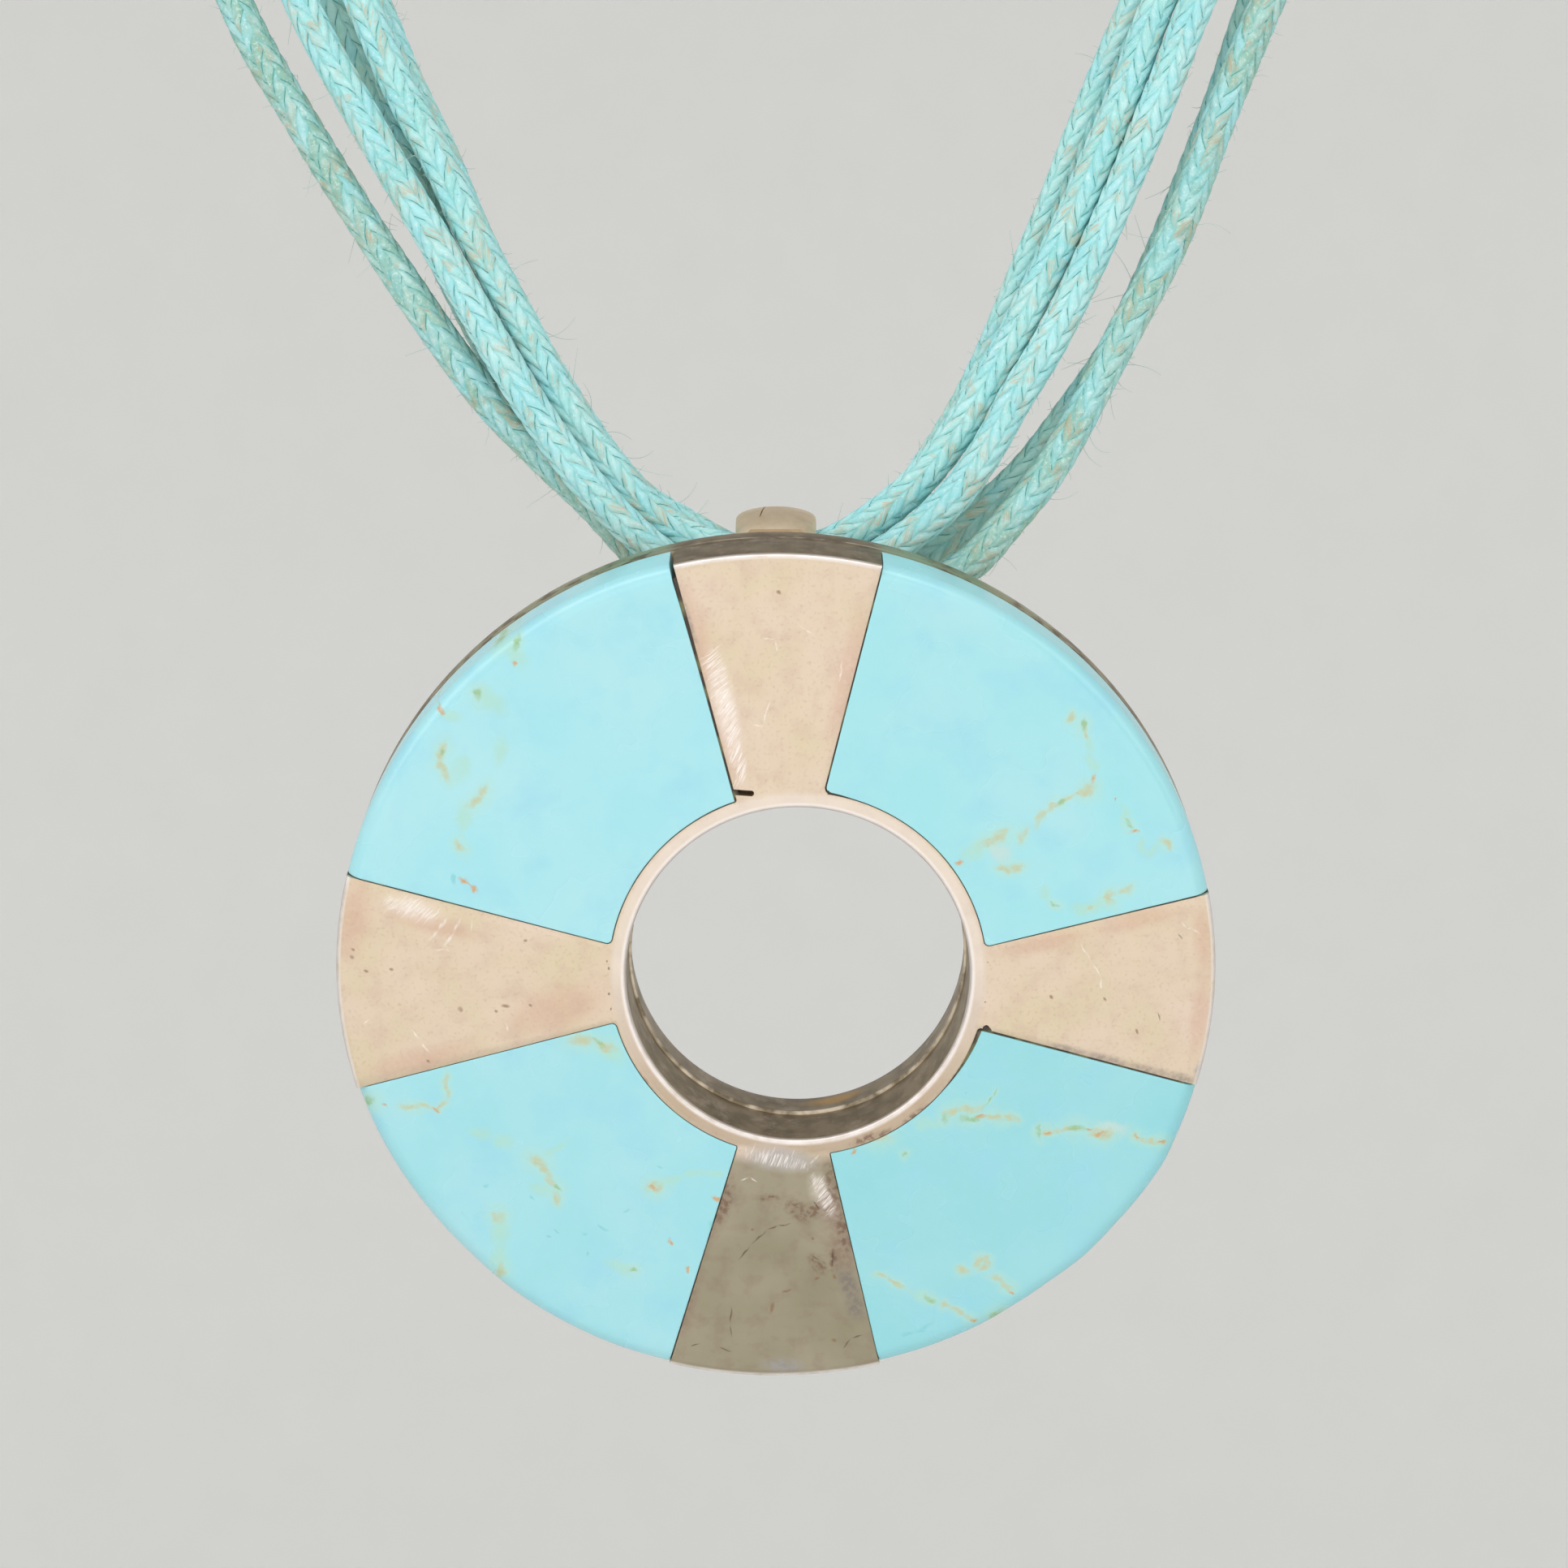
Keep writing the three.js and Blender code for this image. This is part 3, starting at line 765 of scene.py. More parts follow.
def turquoise(name, veins, body, cloudy):
    """Turquoise, stabilised, ground and polished by hand: an even waxy blue with paler clouds, and a thin
    tan and green matrix that breaks up along its lines."""
    material, add, shader = started(name, ior=1.61)
    at = face_place(add)
    cloud_size, blue_size, grain_size, break_size = 7.0, 3.2, 0.45, 0.5
    clouds = add("TexNoise", Vector=at, Scale=1 / cloud_size, Detail=3.0)
    blue_at = add("TexNoise", Vector=at, Scale=1 / blue_size, Detail=4.0)
    grain = add("TexNoise", Vector=at, Scale=1 / grain_size, Detail=3.0, Roughness=0.55)
    tint = coated(
        add, body,
        (cloudy, (clouds, 0.35, 0.68)),
        ("#95D4E7", (blue_at, 0.5, 0.72, 0.55)),
        ("#B7E7EA", (grain, 0.55, 0.8, 0.08)),
    )
    bent = wandered(add, wandered(add, at, 1.1, 0.9), 0.3, 0.35)
    broken = add("TexNoise", Vector=at, Scale=1 / break_size, Detail=3.0, Roughness=0.6)
    veins = charted(veins)
    veins["haze"] = veins["tan"] + veins["moss"]
    painted, _ = painted_lines(add, bent, tint, veins, MATRIX_TONES, broken)
    feed(shader, base_color=painted, roughness=where(add, (clouds, 0.0, 1.0, 0.32, 0.22)))
    return material


# Marks in the silver's face, charted and toned in the same way.
SILVER_MARKS = {
    "blush": [
        (1.3, -5.2, 23.3, -3.4, 16.5, -2.1, 11.9), (1.0, 4.9, 22.5, 3.0, 13.5),
        (0.9, 12.6, 1.7, 18.0, 3.0, 23.0, 4.4), (0.8, 23.9, 4.5, 24.4, 0.5, 23.9, -5.0),
        (1.6, -23.6, 5.4, -24.2, 2.0), (2.2, -14.5, -2.4, -10.5, -1.0), (0.9, -22.5, 4.3, -16.5, 2.6),
        (1.2, -23.6, -5.6, -17.0, -4.0),
    ],
    "brown": [(0.9, -2.7, -11.2, -4.6, -17.5, -5.7, -22.6), (1.1, 2.9, -13.2, 3.5, -15.6, 4.1, -18.0)],
    "stain": [
        (0.9, 3.0, -11.2, 3.7, -14.2, 4.3, -17.0), (0.8, -2.5, -12.0, -3.4, -15.6),
        (1.1, 0.9, -13.9, 1.6, -14.6, 2.6, -14.0), (0.8, 2.1, -17.3, 2.8, -18.1),
        (0.5, 3.3, -16.8, 3.4, -18.3), (0.5, 0.3, -13.4, -1.2, -13.5),
        (0.55, 11.3, -4.6, 9.6, -7.2, 7.0, -9.1, 4.0, -10.2), (0.5, -6.6, -7.6, -9.0, -4.4),
    ],
    "dull": [(1.0, 4.0, -18.2, 4.5, -19.9, 4.75, -20.9)],
    "steel": [(1.4, -1.5, -10.8, 1.8, -11.2), (0.9, -0.6, -24.2, 1.4, -24.3), (0.6, 24.4, -5.2, 24.2, -5.9)],
    "rubbed": [
        (0.6, 15.6, -3.9, 17.8, -4.5, 20.2, -5.15, 22.5, -5.75, 23.9, -6.1), (0.35, -5.2, 22.8, -4.2, 19.4),
    ],
    "speck": [
        (0.2, -24.1, 1.5, -24.0, 1.4), (0.18, -23.3, 0.6, -23.2, 0.55), (0.2, -21.9, 0.7, -21.8, 0.65),
        (0.26, -18.0, -1.65, -17.95, -1.75), (0.22, -15.6, -1.5, -15.2, -1.5),
        (0.18, -14.0, -1.45, -13.95, -1.5), (0.16, -16.0, -1.8, -15.95, -1.85),
        (0.18, -14.2, 2.5, -14.15, 2.45), (0.16, -24.0, 1.95, -23.95, 1.9),
        (0.16, -20.0, -4.9, -19.9, -4.95), (0.2, 0.1, 22.9, 0.2, 22.8), (0.16, 15.6, -0.9, 15.7, -1.0),
        (0.14, 18.7, -1.0, 18.8, -1.2), (0.14, 20.6, -3.0, 20.7, -3.2), (0.3, -22.5, -6.4, -22.3, -6.4),
        (0.25, -0.2, -20.2, -0.3, -20.8), (0.16, 0.3, -19.5, 0.9, -19.3), (0.18, 3.4, -18.4, 3.5, -18.6),
        (0.2, 2.3, -18.7, 2.5, -18.6), (0.16, 2.1, -16.0, 2.15, -16.1), (0.16, -1.4, -15.5, -1.35, -15.5),
        (0.2, 3.3, -22.6, 3.5, -22.6),
    ],
    "crack": [
        (0.13, -2.2, -17.5, -1.5, -16.5, -0.5, -15.5, 0.1, -15.25, 0.9, -15.1),
        (0.11, -2.6, -20.4, -2.7, -21.6, -2.6, -22.5), (0.1, -3.6, -14.9, -3.4, -14.5),
        (0.12, 2.1, -17.2, 2.5, -17.5), (0.12, 3.3, -16.6, 3.3, -18.0), (0.12, 2.1, -13.6, 2.6, -14.2),
        (0.1, -5.1, -23.0, -4.4, -22.8), (0.1, 3.9, -23.2, 4.4, -22.5, 5.1, -22.3),
        (0.1, -3.4, -23.0, -2.6, -23.4), (0.1, 12.0, 1.2, 12.05, 1.15), (0.1, 11.9, -1.3, 11.95, -1.3),
        (0.12, -9.6, 1.2, -9.6, 1.1), (0.12, -9.5, 0.8, -9.5, 0.7), (0.12, -9.5, -0.7, -9.5, -0.8),
        (0.12, -9.4, -1.6, -9.4, -1.7), (0.12, 22.75, 2.85, 23.0, 2.5), (0.1, 21.8, -1.9, 21.9, -2.4),
    ],
    "scratch": [
        (0.2, -19.6, 2.5, -19.1, 3.1, -18.6, 3.8), (0.2, -18.8, 2.1, -18.2, 3.0, -17.8, 3.8),
        (0.13, -19.5, 1.8, -18.7, 1.95, -18.55, 1.8), (0.1, -17.3, 3.0, -17.2, 3.7),
        (0.1, -0.7, 20.2, 0.0, 20.1, 0.1, 19.4), (0.1, -0.3, 16.9, -0.7, 15.1, -1.2, 15.2),
        (0.11, 22.9, 3.6, 23.3, 3.2, 23.5, 3.25, 24.1, 2.8),
        (0.1, 17.2, 2.3, 17.9, 1.2, 18.5, 0.2, 18.5, -0.7), (0.13, -20.8, -2.9, -20.3, -3.7, -19.8, -4.4),
        (0.13, -15.4, -2.5, -15.3, -3.1), (0.1, -2.1, -12.4, -1.5, -12.1, -1.1, -12.5),
        (0.12, 3.7, 19.0, 3.5, 17.6), (0.1, -23.5, -2.6, -23.2, -2.3), (0.1, 1.2, 21.0, 2.2, 20.3),
    ],
}
# Where an abrasive slipped: its fan of strokes goes from a place to a place, turning from a lean to a lean in
# degrees; then how long the strokes are, how far they stray, and how many there are.
SLIPS = [
    ((-3.6, 19.6), (-1.9, 11.9), (32, 74), 1.3, 0.4, 40),
    ((-22.0, 4.8), (-19.2, 3.9), (38, 52), 1.2, 0.4, 22),
    ((-1.8, -10.6), (2.3, -11.3), (82, 60), 0.8, 0.45, 22),
    ((2.3, -12.2), (3.3, -14.6), (58, 45), 0.8, 0.4, 12),
]
# Where the same strokes lie too close to tell apart: a line, how wide they are round it, and their lean.
HAIRLINES = [
    ((-3.5, 19.3), (-2.9, 17.0), 1.3, 40), ((-2.9, 17.0), (-2.45, 14.6), 1.3, 54),
    ((-2.45, 14.6), (-1.85, 12.0), 0.9, 66),
    ((-21.9, 4.8), (-19.2, 4.0), 1.0, 44), ((-1.6, -10.8), (1.8, -11.4), 1.0, 72),
    ((2.2, -12.0), (3.3, -14.6), 0.9, 52),
]
SILVER_TONES = {
    "blush": ("#CBA692", 0.5, 0.3, 1.8),
    "pale": ("#EFE4DC", 0.5, 0.4, 2.0),
    "brown": ("#8E7869", 0.7, 0.5, 1.8),
    "stain": ("#765A4C", 0.75, 0.7, 1.4),
    "dull": ("#7C7472", 0.65, 0.5, 1.6),
    "steel": ("#A09EA0", 0.7, 0.5, 1.5),
    "rubbed": ("#A2968C", 0.7, 0.6, 1.3),
    "speck": ("#8A6C56", 0.72, 0.3, 1.45),
    "crack": ("#5A4C40", 0.7, 0.4, 1.2),
    "scratch": ("#F2EAE6", 0.55, 0.6, 1.3),
}


def slip_strokes():
    """Each slip's separate strokes, and the paler bands that they lie in, each its width and its places."""
    luck = random.Random(5)
    strokes, bands = [], []
    for start, end, leans, length, stray, count in SLIPS:
        run = Vector(end) - Vector(start)
        side = Vector((-run.y, run.x)).normalized()
        for i in range(count):
            share = (i + luck.uniform(0, 1)) / count
            middle = Vector(start) + run * share + side * luck.uniform(-stray, stray)
            lean = math.radians(between(leans, share) + luck.uniform(-9, 9))
            half = Vector((math.cos(lean), math.sin(lean))) * length * luck.uniform(0.3, 0.65)
            strokes.append((luck.uniform(0.04, 0.09), [middle - half, middle + half]))
        bands.append((1.7 * stray + 0.3, [start, end]))
    return strokes, bands


def fine_strokes(add, at, lean, spacing, length):
    """Thin parallel strokes at a lean in degrees, spacing apart and about length long, in mm: 0 to 1. Real
    ones lie about 0.03 mm apart, which is too fine to show, so each spacing is about three times that."""
    turned_to, size = (0, 0, math.radians(lean)), (length, spacing, 10.0)
    run = add("Mapping", Vector=at, Rotation=turned_to, Scale=size, vector_type="TEXTURE")
    return add("TexNoise", Vector=run, Scale=1.0, Detail=2.0, Roughness=0.7)


def hole_share(add, at):
    """How far a place is from the hole's centre, as a share of the hole's radius there."""
    flat = add("VectorMath", at, (1, 1, 0), operation="MULTIPLY")
    return far_from(add, flat, (*HOLE_CENTRE, 0), (*HOLE_RADII, 1))


def silver_face(add, at, cloud):
    """The silver's face before its marks: cream with yellower and pinker clouds, the ring round the hole
    darker towards the bottom, and olive grey low down."""
    bloom_size, speck_size = 5.0, 0.22
    broad = add("TexNoise", Vector=at, Scale=1 / bloom_size, Detail=3.0)
    speck = add("TexNoise", Vector=at, Scale=1 / speck_size, Detail=2.0)
    y = add("SeparateXYZ", at, output="Y")
    # The ring is darker towards the bottom.
    ring = coated(add, "#E2D6CC", ("#B09B86", (y, 1.0, -7.0)))
    olive = coated(add, "#A39A86", ("#968E78", (broad, 0.35, 0.65)), ("#8E7E6E", (cloud, 0.5, 0.72, 0.5)))
    edge = add("Math", cloud, 1.2, y, operation="MULTIPLY_ADD")
    return coated(
        add, "#DAC7B5",
        ("#D5C5AA", (broad, 0.35, 0.65)),
        ("#CFB3A3", (cloud, 0.5, 0.75, 0.5)),
        ("#B4957E", (speck, 0.55, 0.8, 0.35)),
        (ring, (hole_share(add, at), 1.1, 1.07, 0.65)),
        # Olive grey low down, towards the bottom of the face.
        (olive, where(add, (edge, -9.6, -10.8), smooth=True)),
    )


def worn_and_highlit_edges(add, at, cloud):
    """1 along the rim's and the hole's front edges, where the silver is rubbed bright and a highlight is
    painted along them.
    """
    z = add("SeparateXYZ", at, output="Z")
    flat = add("VectorMath", at, (1, 1, 0), operation="MULTIPLY")
    radius = add("VectorMath", flat, output="Value", operation="LENGTH")
    rim = where(add, (radius, 24.7, 24.86))
    hole = where(add, (hole_share(add, at), 1.036, 1.018))
    both = add("Math", rim, hole, operation="MAXIMUM")
    return where(add, both, (z, -0.3, -0.14), (cloud, 0.3, 0.55, 1.0, 0.55))


def tarnished_walls(add, at, cloud):
    """The walls round the rim and in the hole, olive brown with streaks across them, a painted highlight along
    the ridge where the hole's lining steps in, a painted yellow glint, a smear of old glue, and the sanded
    back."""
    x, y, z = (add("SeparateXYZ", at, output=axis) for axis in "XYZ")
    streaks_per_mm = 0.9
    streaks = add("TexNoise", Vector=at, Scale=streaks_per_mm, Detail=3.0, Roughness=0.5)
    glint = far_from(add, at, (3.5, -9.5, -5.2), (2.2, 1.2, 0.8))
    beside = add("Math", x, operation="ABSOLUTE")
    sanded = coated(add, "#F0DDC2", ("#DCC8A8", (cloud, 0.3, 0.7)))
    return coated(
        add, "#82745E",
        ("#9C8C74", (streaks, 0.38, 0.62)),
        ("#BDAE9C", (cloud, 0.55, 0.7, 0.6)),
        # Painted highlight along the ledge where the hole's lining steps in.
        ("#D8CAB6", (z, -3.98, -3.86), (z, -3.7, -3.8), (streaks, 0.4, 0.6)),
        # Painted yellow glint low in the back of the hole.
        ("#C9A060", (glint, 1.0, 0.4, 0.8)),
        ("#B9BA9C", (z, -3.2, -3.5), (y, 15.0, 20.0), (beside, 5.5, 6.2), (streaks, 0.38, 0.52, 0.75)),
        (sanded, (z, -5.2, -5.42), (hole_share(add, at), 1.01, 1.05)),
    )


def worn_silver(name, marked):
    """Sterling silver sheet, filed flat, satin finished and worn: warm cream with a faint yellow and pink
    bloom, olive brown on its walls where hands don't reach, and bright along its edges, rubbed and with a
    painted highlight."""
    material, add, shader = started(name, metallic=1.0)
    at = face_place(add)
    cloud_size, break_size = 1.3, 0.35
    cloud = add("TexNoise", Vector=at, Scale=1 / cloud_size, Detail=4.0, Roughness=0.6)
    surface = silver_face(add, at, cloud)
    filed = fine_strokes(add, at, 20, 0.09, 1.4)
    crossed = fine_strokes(add, at, 105, 0.12, 1.0)
    fine = add("Math", filed, crossed, operation="ADD")
    height = fine
    if marked:
        marks = charted(SILVER_MARKS)
        strokes, marks["pale"] = slip_strokes()
        marks["scratch"] += strokes
        bent = wandered(add, at, 0.7, 0.25)
        broken = add("TexNoise", Vector=at, Scale=1 / break_size, Detail=3.0)
        surface, masks = painted_lines(add, bent, surface, marks, SILVER_TONES, broken)
        scratches = masks["scratch"]
        for start, end, wide, lean in HAIRLINES:
            patch = where(add, (nearest(add, bent, [(wide, [start, end])]), 1.0, 0.5), smooth=True)
            hairs = fine_strokes(add, at, lean, 0.1, 1.6)
            drawn = where(add, patch, (hairs, 0.47, 0.62, 0.75))
            surface = coated(add, surface, ("#F4ECE8", drawn))
            scratches = add("Math", scratches, drawn, operation="MAXIMUM")
        height = add("Math", scratches, -2.0, fine, operation="MULTIPLY_ADD")
    # Rubbed bright edges, with a painted highlight along them.
    edges = "#EFE7E3", worn_and_highlit_edges(add, at, cloud)
    z = add("SeparateXYZ", at, output="Z")
    walls = tarnished_walls(add, at, cloud), where(add, (z, -0.2, -0.42), smooth=True)
    dull = where(add, (cloud, 0.0, 1.0, 0.46, 0.3))
    roughness = add("Math", fine, 0.06, dull, operation="MULTIPLY_ADD")
    relief = add("Bump", Strength=0.3, Distance=0.008 * MM, Height=height, output="Normal")
    feed(shader, base_color=coated(add, surface, edges, walls), roughness=roughness, normal=relief)
    return material


def bedding_glue():
    """Old epoxy bedding, squeezed out of the joints and scraped back: dull olive and dark brown."""
    material, add, shader = started("epoxy_bedding_aged", roughness=0.6)
    lot_size = 1.25
    lot = add("TexNoise", Vector=face_place(add), Scale=1 / lot_size, Detail=2.0)
    feed(shader, base_color=coated(add, "#40362A", ("#7A7654", (lot, 0.5, 0.64))))
    return material


def clasp_silver():
    """Sterling barrel, turned and satin finished: lathe lines round it, drawn a little coarser than real ones
    so that they show."""
    material, add, shader = started("sterling_silver_turned", metallic=1.0, roughness=0.35)
    at = row_place(add)
    line_spacing, line_length, cloud_size = 0.125, 5.0, 2.5
    rings = add("Mapping", Vector=at, Scale=(1 / line_spacing, 1 / line_length, 1 / line_length))
    lines = add("TexNoise", Vector=rings, Scale=1.0, Detail=2.0)
    cloud = add("TexNoise", Vector=at, Scale=1 / cloud_size, Detail=3.0)
    relief = add("Bump", Strength=0.3, Distance=0.01 * MM, Height=lines, output="Normal")
    feed(shader, base_color=coated(add, "#E2CDB2", ("#C4AE92", cloud)), normal=relief)
    return material


# --- cords ---

# The front of the loop is what lies below this, in mm above the bail's axis.
FRONT_TOP = 60
# Loose fibres: the bare ends of a strand, the height below which they stand close together, how far from the
# strand's middle they start, and their thickness. Heights are in metres in the row frame, the rest in mm.
FUZZ_BARE_END = 4.0
FUZZ_CLOSE_BELOW = -0.125
FUZZ_ROOT = 0.95
FUZZ_THICKNESS = 0.02


def neck_stretch(inward, back):
    """One strand's stretch of the gathered bundle, on the right."""
    last = len(NECK_LINE) - 1
    placed = []
    for i, (x, z) in enumerate(NECK_LINE):
        run = Vector(NECK_LINE[min(i + 1, last)]) - Vector(NECK_LINE[max(i - 1, 0)])
        along = Vector((-1, 0)) if i >= last - 1 else run.normalized()
        placed.append((x - along.y * inward, back, z + along.x * inward))
    return placed


def route(index):
    """A strand's whole route in mm: the neck on the left, the front, and the neck on the right."""
    right = neck_stretch(*BUNDLE[index])
    left = [(-x, y, z) for x, y, z in reversed(right)]
    return np.array(left + FRONT_LINES[index] + right, float)


def smooth_line(points, steps=60):
    """A centripetal Catmull-Rom curve through the points."""
    padded = np.vstack([2 * points[0] - points[1], points, 2 * points[-1] - points[-2]])
    pieces = []
    for i in range(len(points) - 1):
        p0, p1, p2, p3 = padded[i : i + 4]
        d0, d1, d2 = (math.sqrt(np.linalg.norm(b - a)) for a, b in ((p0, p1), (p1, p2), (p2, p3)))
        out = ((p1 - p0) / d0 - (p2 - p0) / (d0 + d1) + (p2 - p1) / d1) * d1
        into = ((p2 - p1) / d1 - (p3 - p1) / (d1 + d2) + (p3 - p2) / d2) * d1
        t = np.linspace(0, 1, steps, endpoint=False)[:, None]
        bend, twist = -3 * p1 + 3 * p2 - 2 * out - into, 2 * p1 - 2 * p2 + out + into
        pieces.append(p1 + out * t + bend * t**2 + twist * t**3)
    return np.vstack([*pieces, points[-1:]])


def ring_places(line):
    """Places along a line for a tube's rings, close together on the front, and how far along each is."""
    far = np.concatenate([[0], np.cumsum(np.linalg.norm(np.diff(line, axis=0), axis=1))])
    front = line[:, 2] < FRONT_TOP
    bail_far = far[front][np.argmin(np.abs(line[front, 0]))]
    stops, at = [], 0.0
    while at < far[-1]:
        stops.append(at)
        at += FINE_STEP if abs(at - bail_far) < FINE_REACH else COARSE_STEP
    stops = np.array([*stops[:-1], far[-1]])
    return np.stack([np.interp(stops, far, line[:, k]) for k in range(3)], axis=1), stops


def carried_frames(centres):
    """For each ring, two directions across the line that turn as little as they can along it."""
    tangents = np.gradient(centres, axis=0)
    tangents /= np.linalg.norm(tangents, axis=1)[:, None]
    across = np.empty_like(centres)
    across[0] = (0, 1, 0)
    for i in range(1, len(centres)):
        carried = across[i - 1] - tangents[i] * (across[i - 1] @ tangents[i])
        across[i] = carried / np.linalg.norm(carried)
    return across, np.cross(tangents, across)


def braid_relief(turn, along):
    """0 at a float's crown and 1 in the seams, for a place round the cord in columns and along it in mm."""
    plaits = along / PLAIT_PITCH
    waver = turn - COLUMN_WAVER * np.cos(2 * math.pi * plaits)
    column = np.floor(waver)
    share = waver - column
    odd = np.mod(column, 2)
    slant = share + odd * (1 - 2 * share)
    phase = plaits + FLOAT_RISE * slant + 0.5 * odd
    from_middle = 2 * np.abs(phase - np.floor(phase) - 0.5)
    tucked = np.abs(2 * share - 1) ** 5
    return np.clip(0.8 * from_middle**3 + 0.5 * tucked, 0, 1)


def braid_corners(turn, along):
    """Each face's four corners on the braid: how far round in columns, and how far along in mm."""
    start, end = turn[:-1], turn[1:]
    step = BRAID_COLUMNS / CORD_SIDES
    near, far = along[:-1, None] + 0 * start, along[1:, None] + 0 * start
    corners = [(start, near), (start + step, near), (end + step, far), (end, far)]
    return np.stack([np.stack(corner, -1) for corner in corners], axis=2).reshape(-1, 2)


def strand(index, material):
    """A braided strand as a tube with its floats in relief, and the line that it follows, in metres."""
    centres, along = ring_places(smooth_line(route(index)))
    across, beside = carried_frames(centres)
    sides = np.arange(CORD_SIDES) / CORD_SIDES
    # The braid turns to and fro a little along the strand, and its thickness isn't quite even.
    drift = 0.35 * np.sin(along / 17 + 2.1 * index)
    lumps = 0.014 * np.sin(along / 3.1 + index) + 0.012 * np.sin(along / 1.3 + 3 * index)
    turn = sides[None, :] * BRAID_COLUMNS + drift[:, None] + 0.5 * index
    sunk = braid_relief(turn, along[:, None])
    radius = ((CROWN_RADIUS - GROOVE_DEPTH * sunk) + lumps[:, None])[..., None]
    angle = (2 * math.pi * sides)[None, :, None]
    points = centres[:, None, :] + radius * np.cos(angle) * across[:, None, :]
    points = points + radius * np.sin(angle) * beside[:, None, :]
    lift = np.array([0, 0, bail_axis.z / MM])
    rings = len(centres)
    number = np.arange(rings * CORD_SIDES).reshape(rings, CORD_SIDES)
    following = np.roll(number, -1, axis=1)
    sides_of = np.stack([number[:-1], following[:-1], following[1:], number[1:]], axis=-1)
    faces = [*sides_of.reshape(-1, 4).tolist(), number[0][::-1].tolist(), number[-1].tolist()]
    name = f"cord_strand_{index + 1}_braid"
    mesh = bpy.data.meshes.new(name)
    mesh.from_pydata(((points + lift).reshape(-1, 3) * MM).tolist(), [], faces)
    braid = mesh.uv_layers.new(name="braid")
    flat = np.vstack([braid_corners(turn, along), np.zeros((2 * CORD_SIDES, 2))])
    braid.data.foreach_set("uv", flat.astype(np.float32).ravel())
    mesh.shade_smooth()
    return stood(name, mesh, material), (centres + lift) * MM, (across, beside, along)


def fuzz(index, centres, frames, material):
    """Loose fibres standing off a strand, each a thin three-sided curl."""
    across, beside, along = frames
    luck = random.Random(71 + index)
    points, faces = [], []
    at = FUZZ_BARE_END
    while at < along[-1] - FUZZ_BARE_END:
        i = int(np.searchsorted(along, at))
        close = centres[i][2] < FUZZ_CLOSE_BELOW
        at += luck.uniform(0.06, 0.45) if close else luck.uniform(0.4, 1.6)
        angle = luck.uniform(0, 2 * math.pi)
        out = Vector(across[i] * math.cos(angle) + beside[i] * math.sin(angle))
        run = Vector(np.cross(across[i], beside[i])) * luck.choice((-1, 1))
        sideways = out.cross(run)
        long = luck.uniform(0.25, 0.75) if luck.random() < 0.88 else luck.uniform(1.0, 2.6)
        curl = luck.uniform(-2.6, 2.6)
        lean = luck.uniform(0.2, 1.2)
        steps = 3 if long < 0.8 else 7
        spot = Vector(centres[i]) / MM + out * FUZZ_ROOT
        heading = (out * math.cos(lean) + run * math.sin(lean)).normalized()
        first = len(points)
        for step in range(steps + 1):
            thick = FUZZ_THICKNESS * (1 - 0.6 * step / steps)
            side = heading.cross(sideways).normalized()
            up = heading.cross(side)
            for corner in range(3):
                turn = 2 * math.pi * corner / 3
                points.append((spot + side * (thick * math.cos(turn)) + up * (thick * math.sin(turn))) * MM)
            spot = spot + heading * (long / steps)
            heading = (heading + sideways * (curl / steps) * 0.6 + run * (curl / steps) * 0.5).normalized()
        last = first + 3 * steps
        for a in range(first, last, 3):
            faces += [(a + i, a + (i + 1) % 3, a + (i + 1) % 3 + 3, a + i + 3) for i in range(3)]
        faces += [(first + 2, first + 1, first), (last, last + 1, last + 2)]
    name = f"cord_strand_{index + 1}_fuzz"
    mesh = bpy.data.meshes.new(name)
    mesh.from_pydata(points, [], faces)
    mesh.shade_smooth()
    return stood(name, mesh, material)


# --- clasp ---


def clasp():
    """A turned barrel: a cup for the cord ends at each side, a collar, and a seam round its middle."""
    half, radius = (clasp_high.x - clasp_low.x) / 2 / MM, (clasp_high.z - clasp_low.z) / 2 / MM
    outline = [
        (0, 9), (3.55, 9), (3.6, 9.05), (3.6, 11.7), (3.7, 11.93), (3.86, half), (4.0, 11.93),
        (4.14, 11.8), (radius, 11.6), (radius, 11.1), (4.1, 11.0), (4.1, 10.75), (radius, 10.65),
        (radius, 7.4), (4.1, 7.3), (4.1, 7.05), (radius, 6.95), (radius, 6.7), (4.05, 6.5), (3.72, 6.15),
        (3.62, 5.9), (3.6, 5.5), (3.6, 2.1), (3.52, 2.0), (3.52, 1.7), (3.6, 1.6), (3.6, 0.35),
        (3.5, 0.15), (3.25, 0.08), (3.25, 0),
    ]
    outline += [(r, -x) for r, x in reversed(outline[:-1])]
    bm = bmesh.new()
    turned(bm, [(x, 0, r) for r, x in outline], "X", 72)
    weld(bm)
    to_row = Matrix.Translation((0, 0, clasp_axis_z)) @ Matrix.Scale(MM, 4)
    piece = finished("clasp_barrel", bm, clasp_silver(), to_row)
    dress(piece, "cords", "clasp")
    return piece


# --- the silver setting ---

RING_ROWS, WEDGE_COLUMNS, WEDGE_ROWS = 4, 16, 36
INLAY_COLUMNS, INLAY_ROWS, INLAY_TURN_ROWS = 52, 46, 6
WEDGE_SHARES = packed(WEDGE_ROWS, 8, 0.045, both_ends=False)
INLAY_SHARES = packed(INLAY_COLUMNS, 8, 0.035, both_ends=True)
INLAY_ROW_SHARES = packed(INLAY_ROWS - INLAY_TURN_ROWS, 8, 0.045, both_ends=False)
# Where the saw slipped past the top joint, and a pit at the lower right corner: start, end, width and depth.
SAW_SLIP = ((-2.5, 11.3), (-1.38, 11.22), 0.34, 0.9)
CORNER_PIT = ((12.0, -2.9), (12.12, -3.05), 0.4, 1.2)
# How wide the front's edges are worn round, and in how many steps: the hole's, the rim's and the joints'.
FRONT_WEAR = ((0.2, 3), (0.22, 3), (0.045, 2))
FILED_WAVES = 0.02


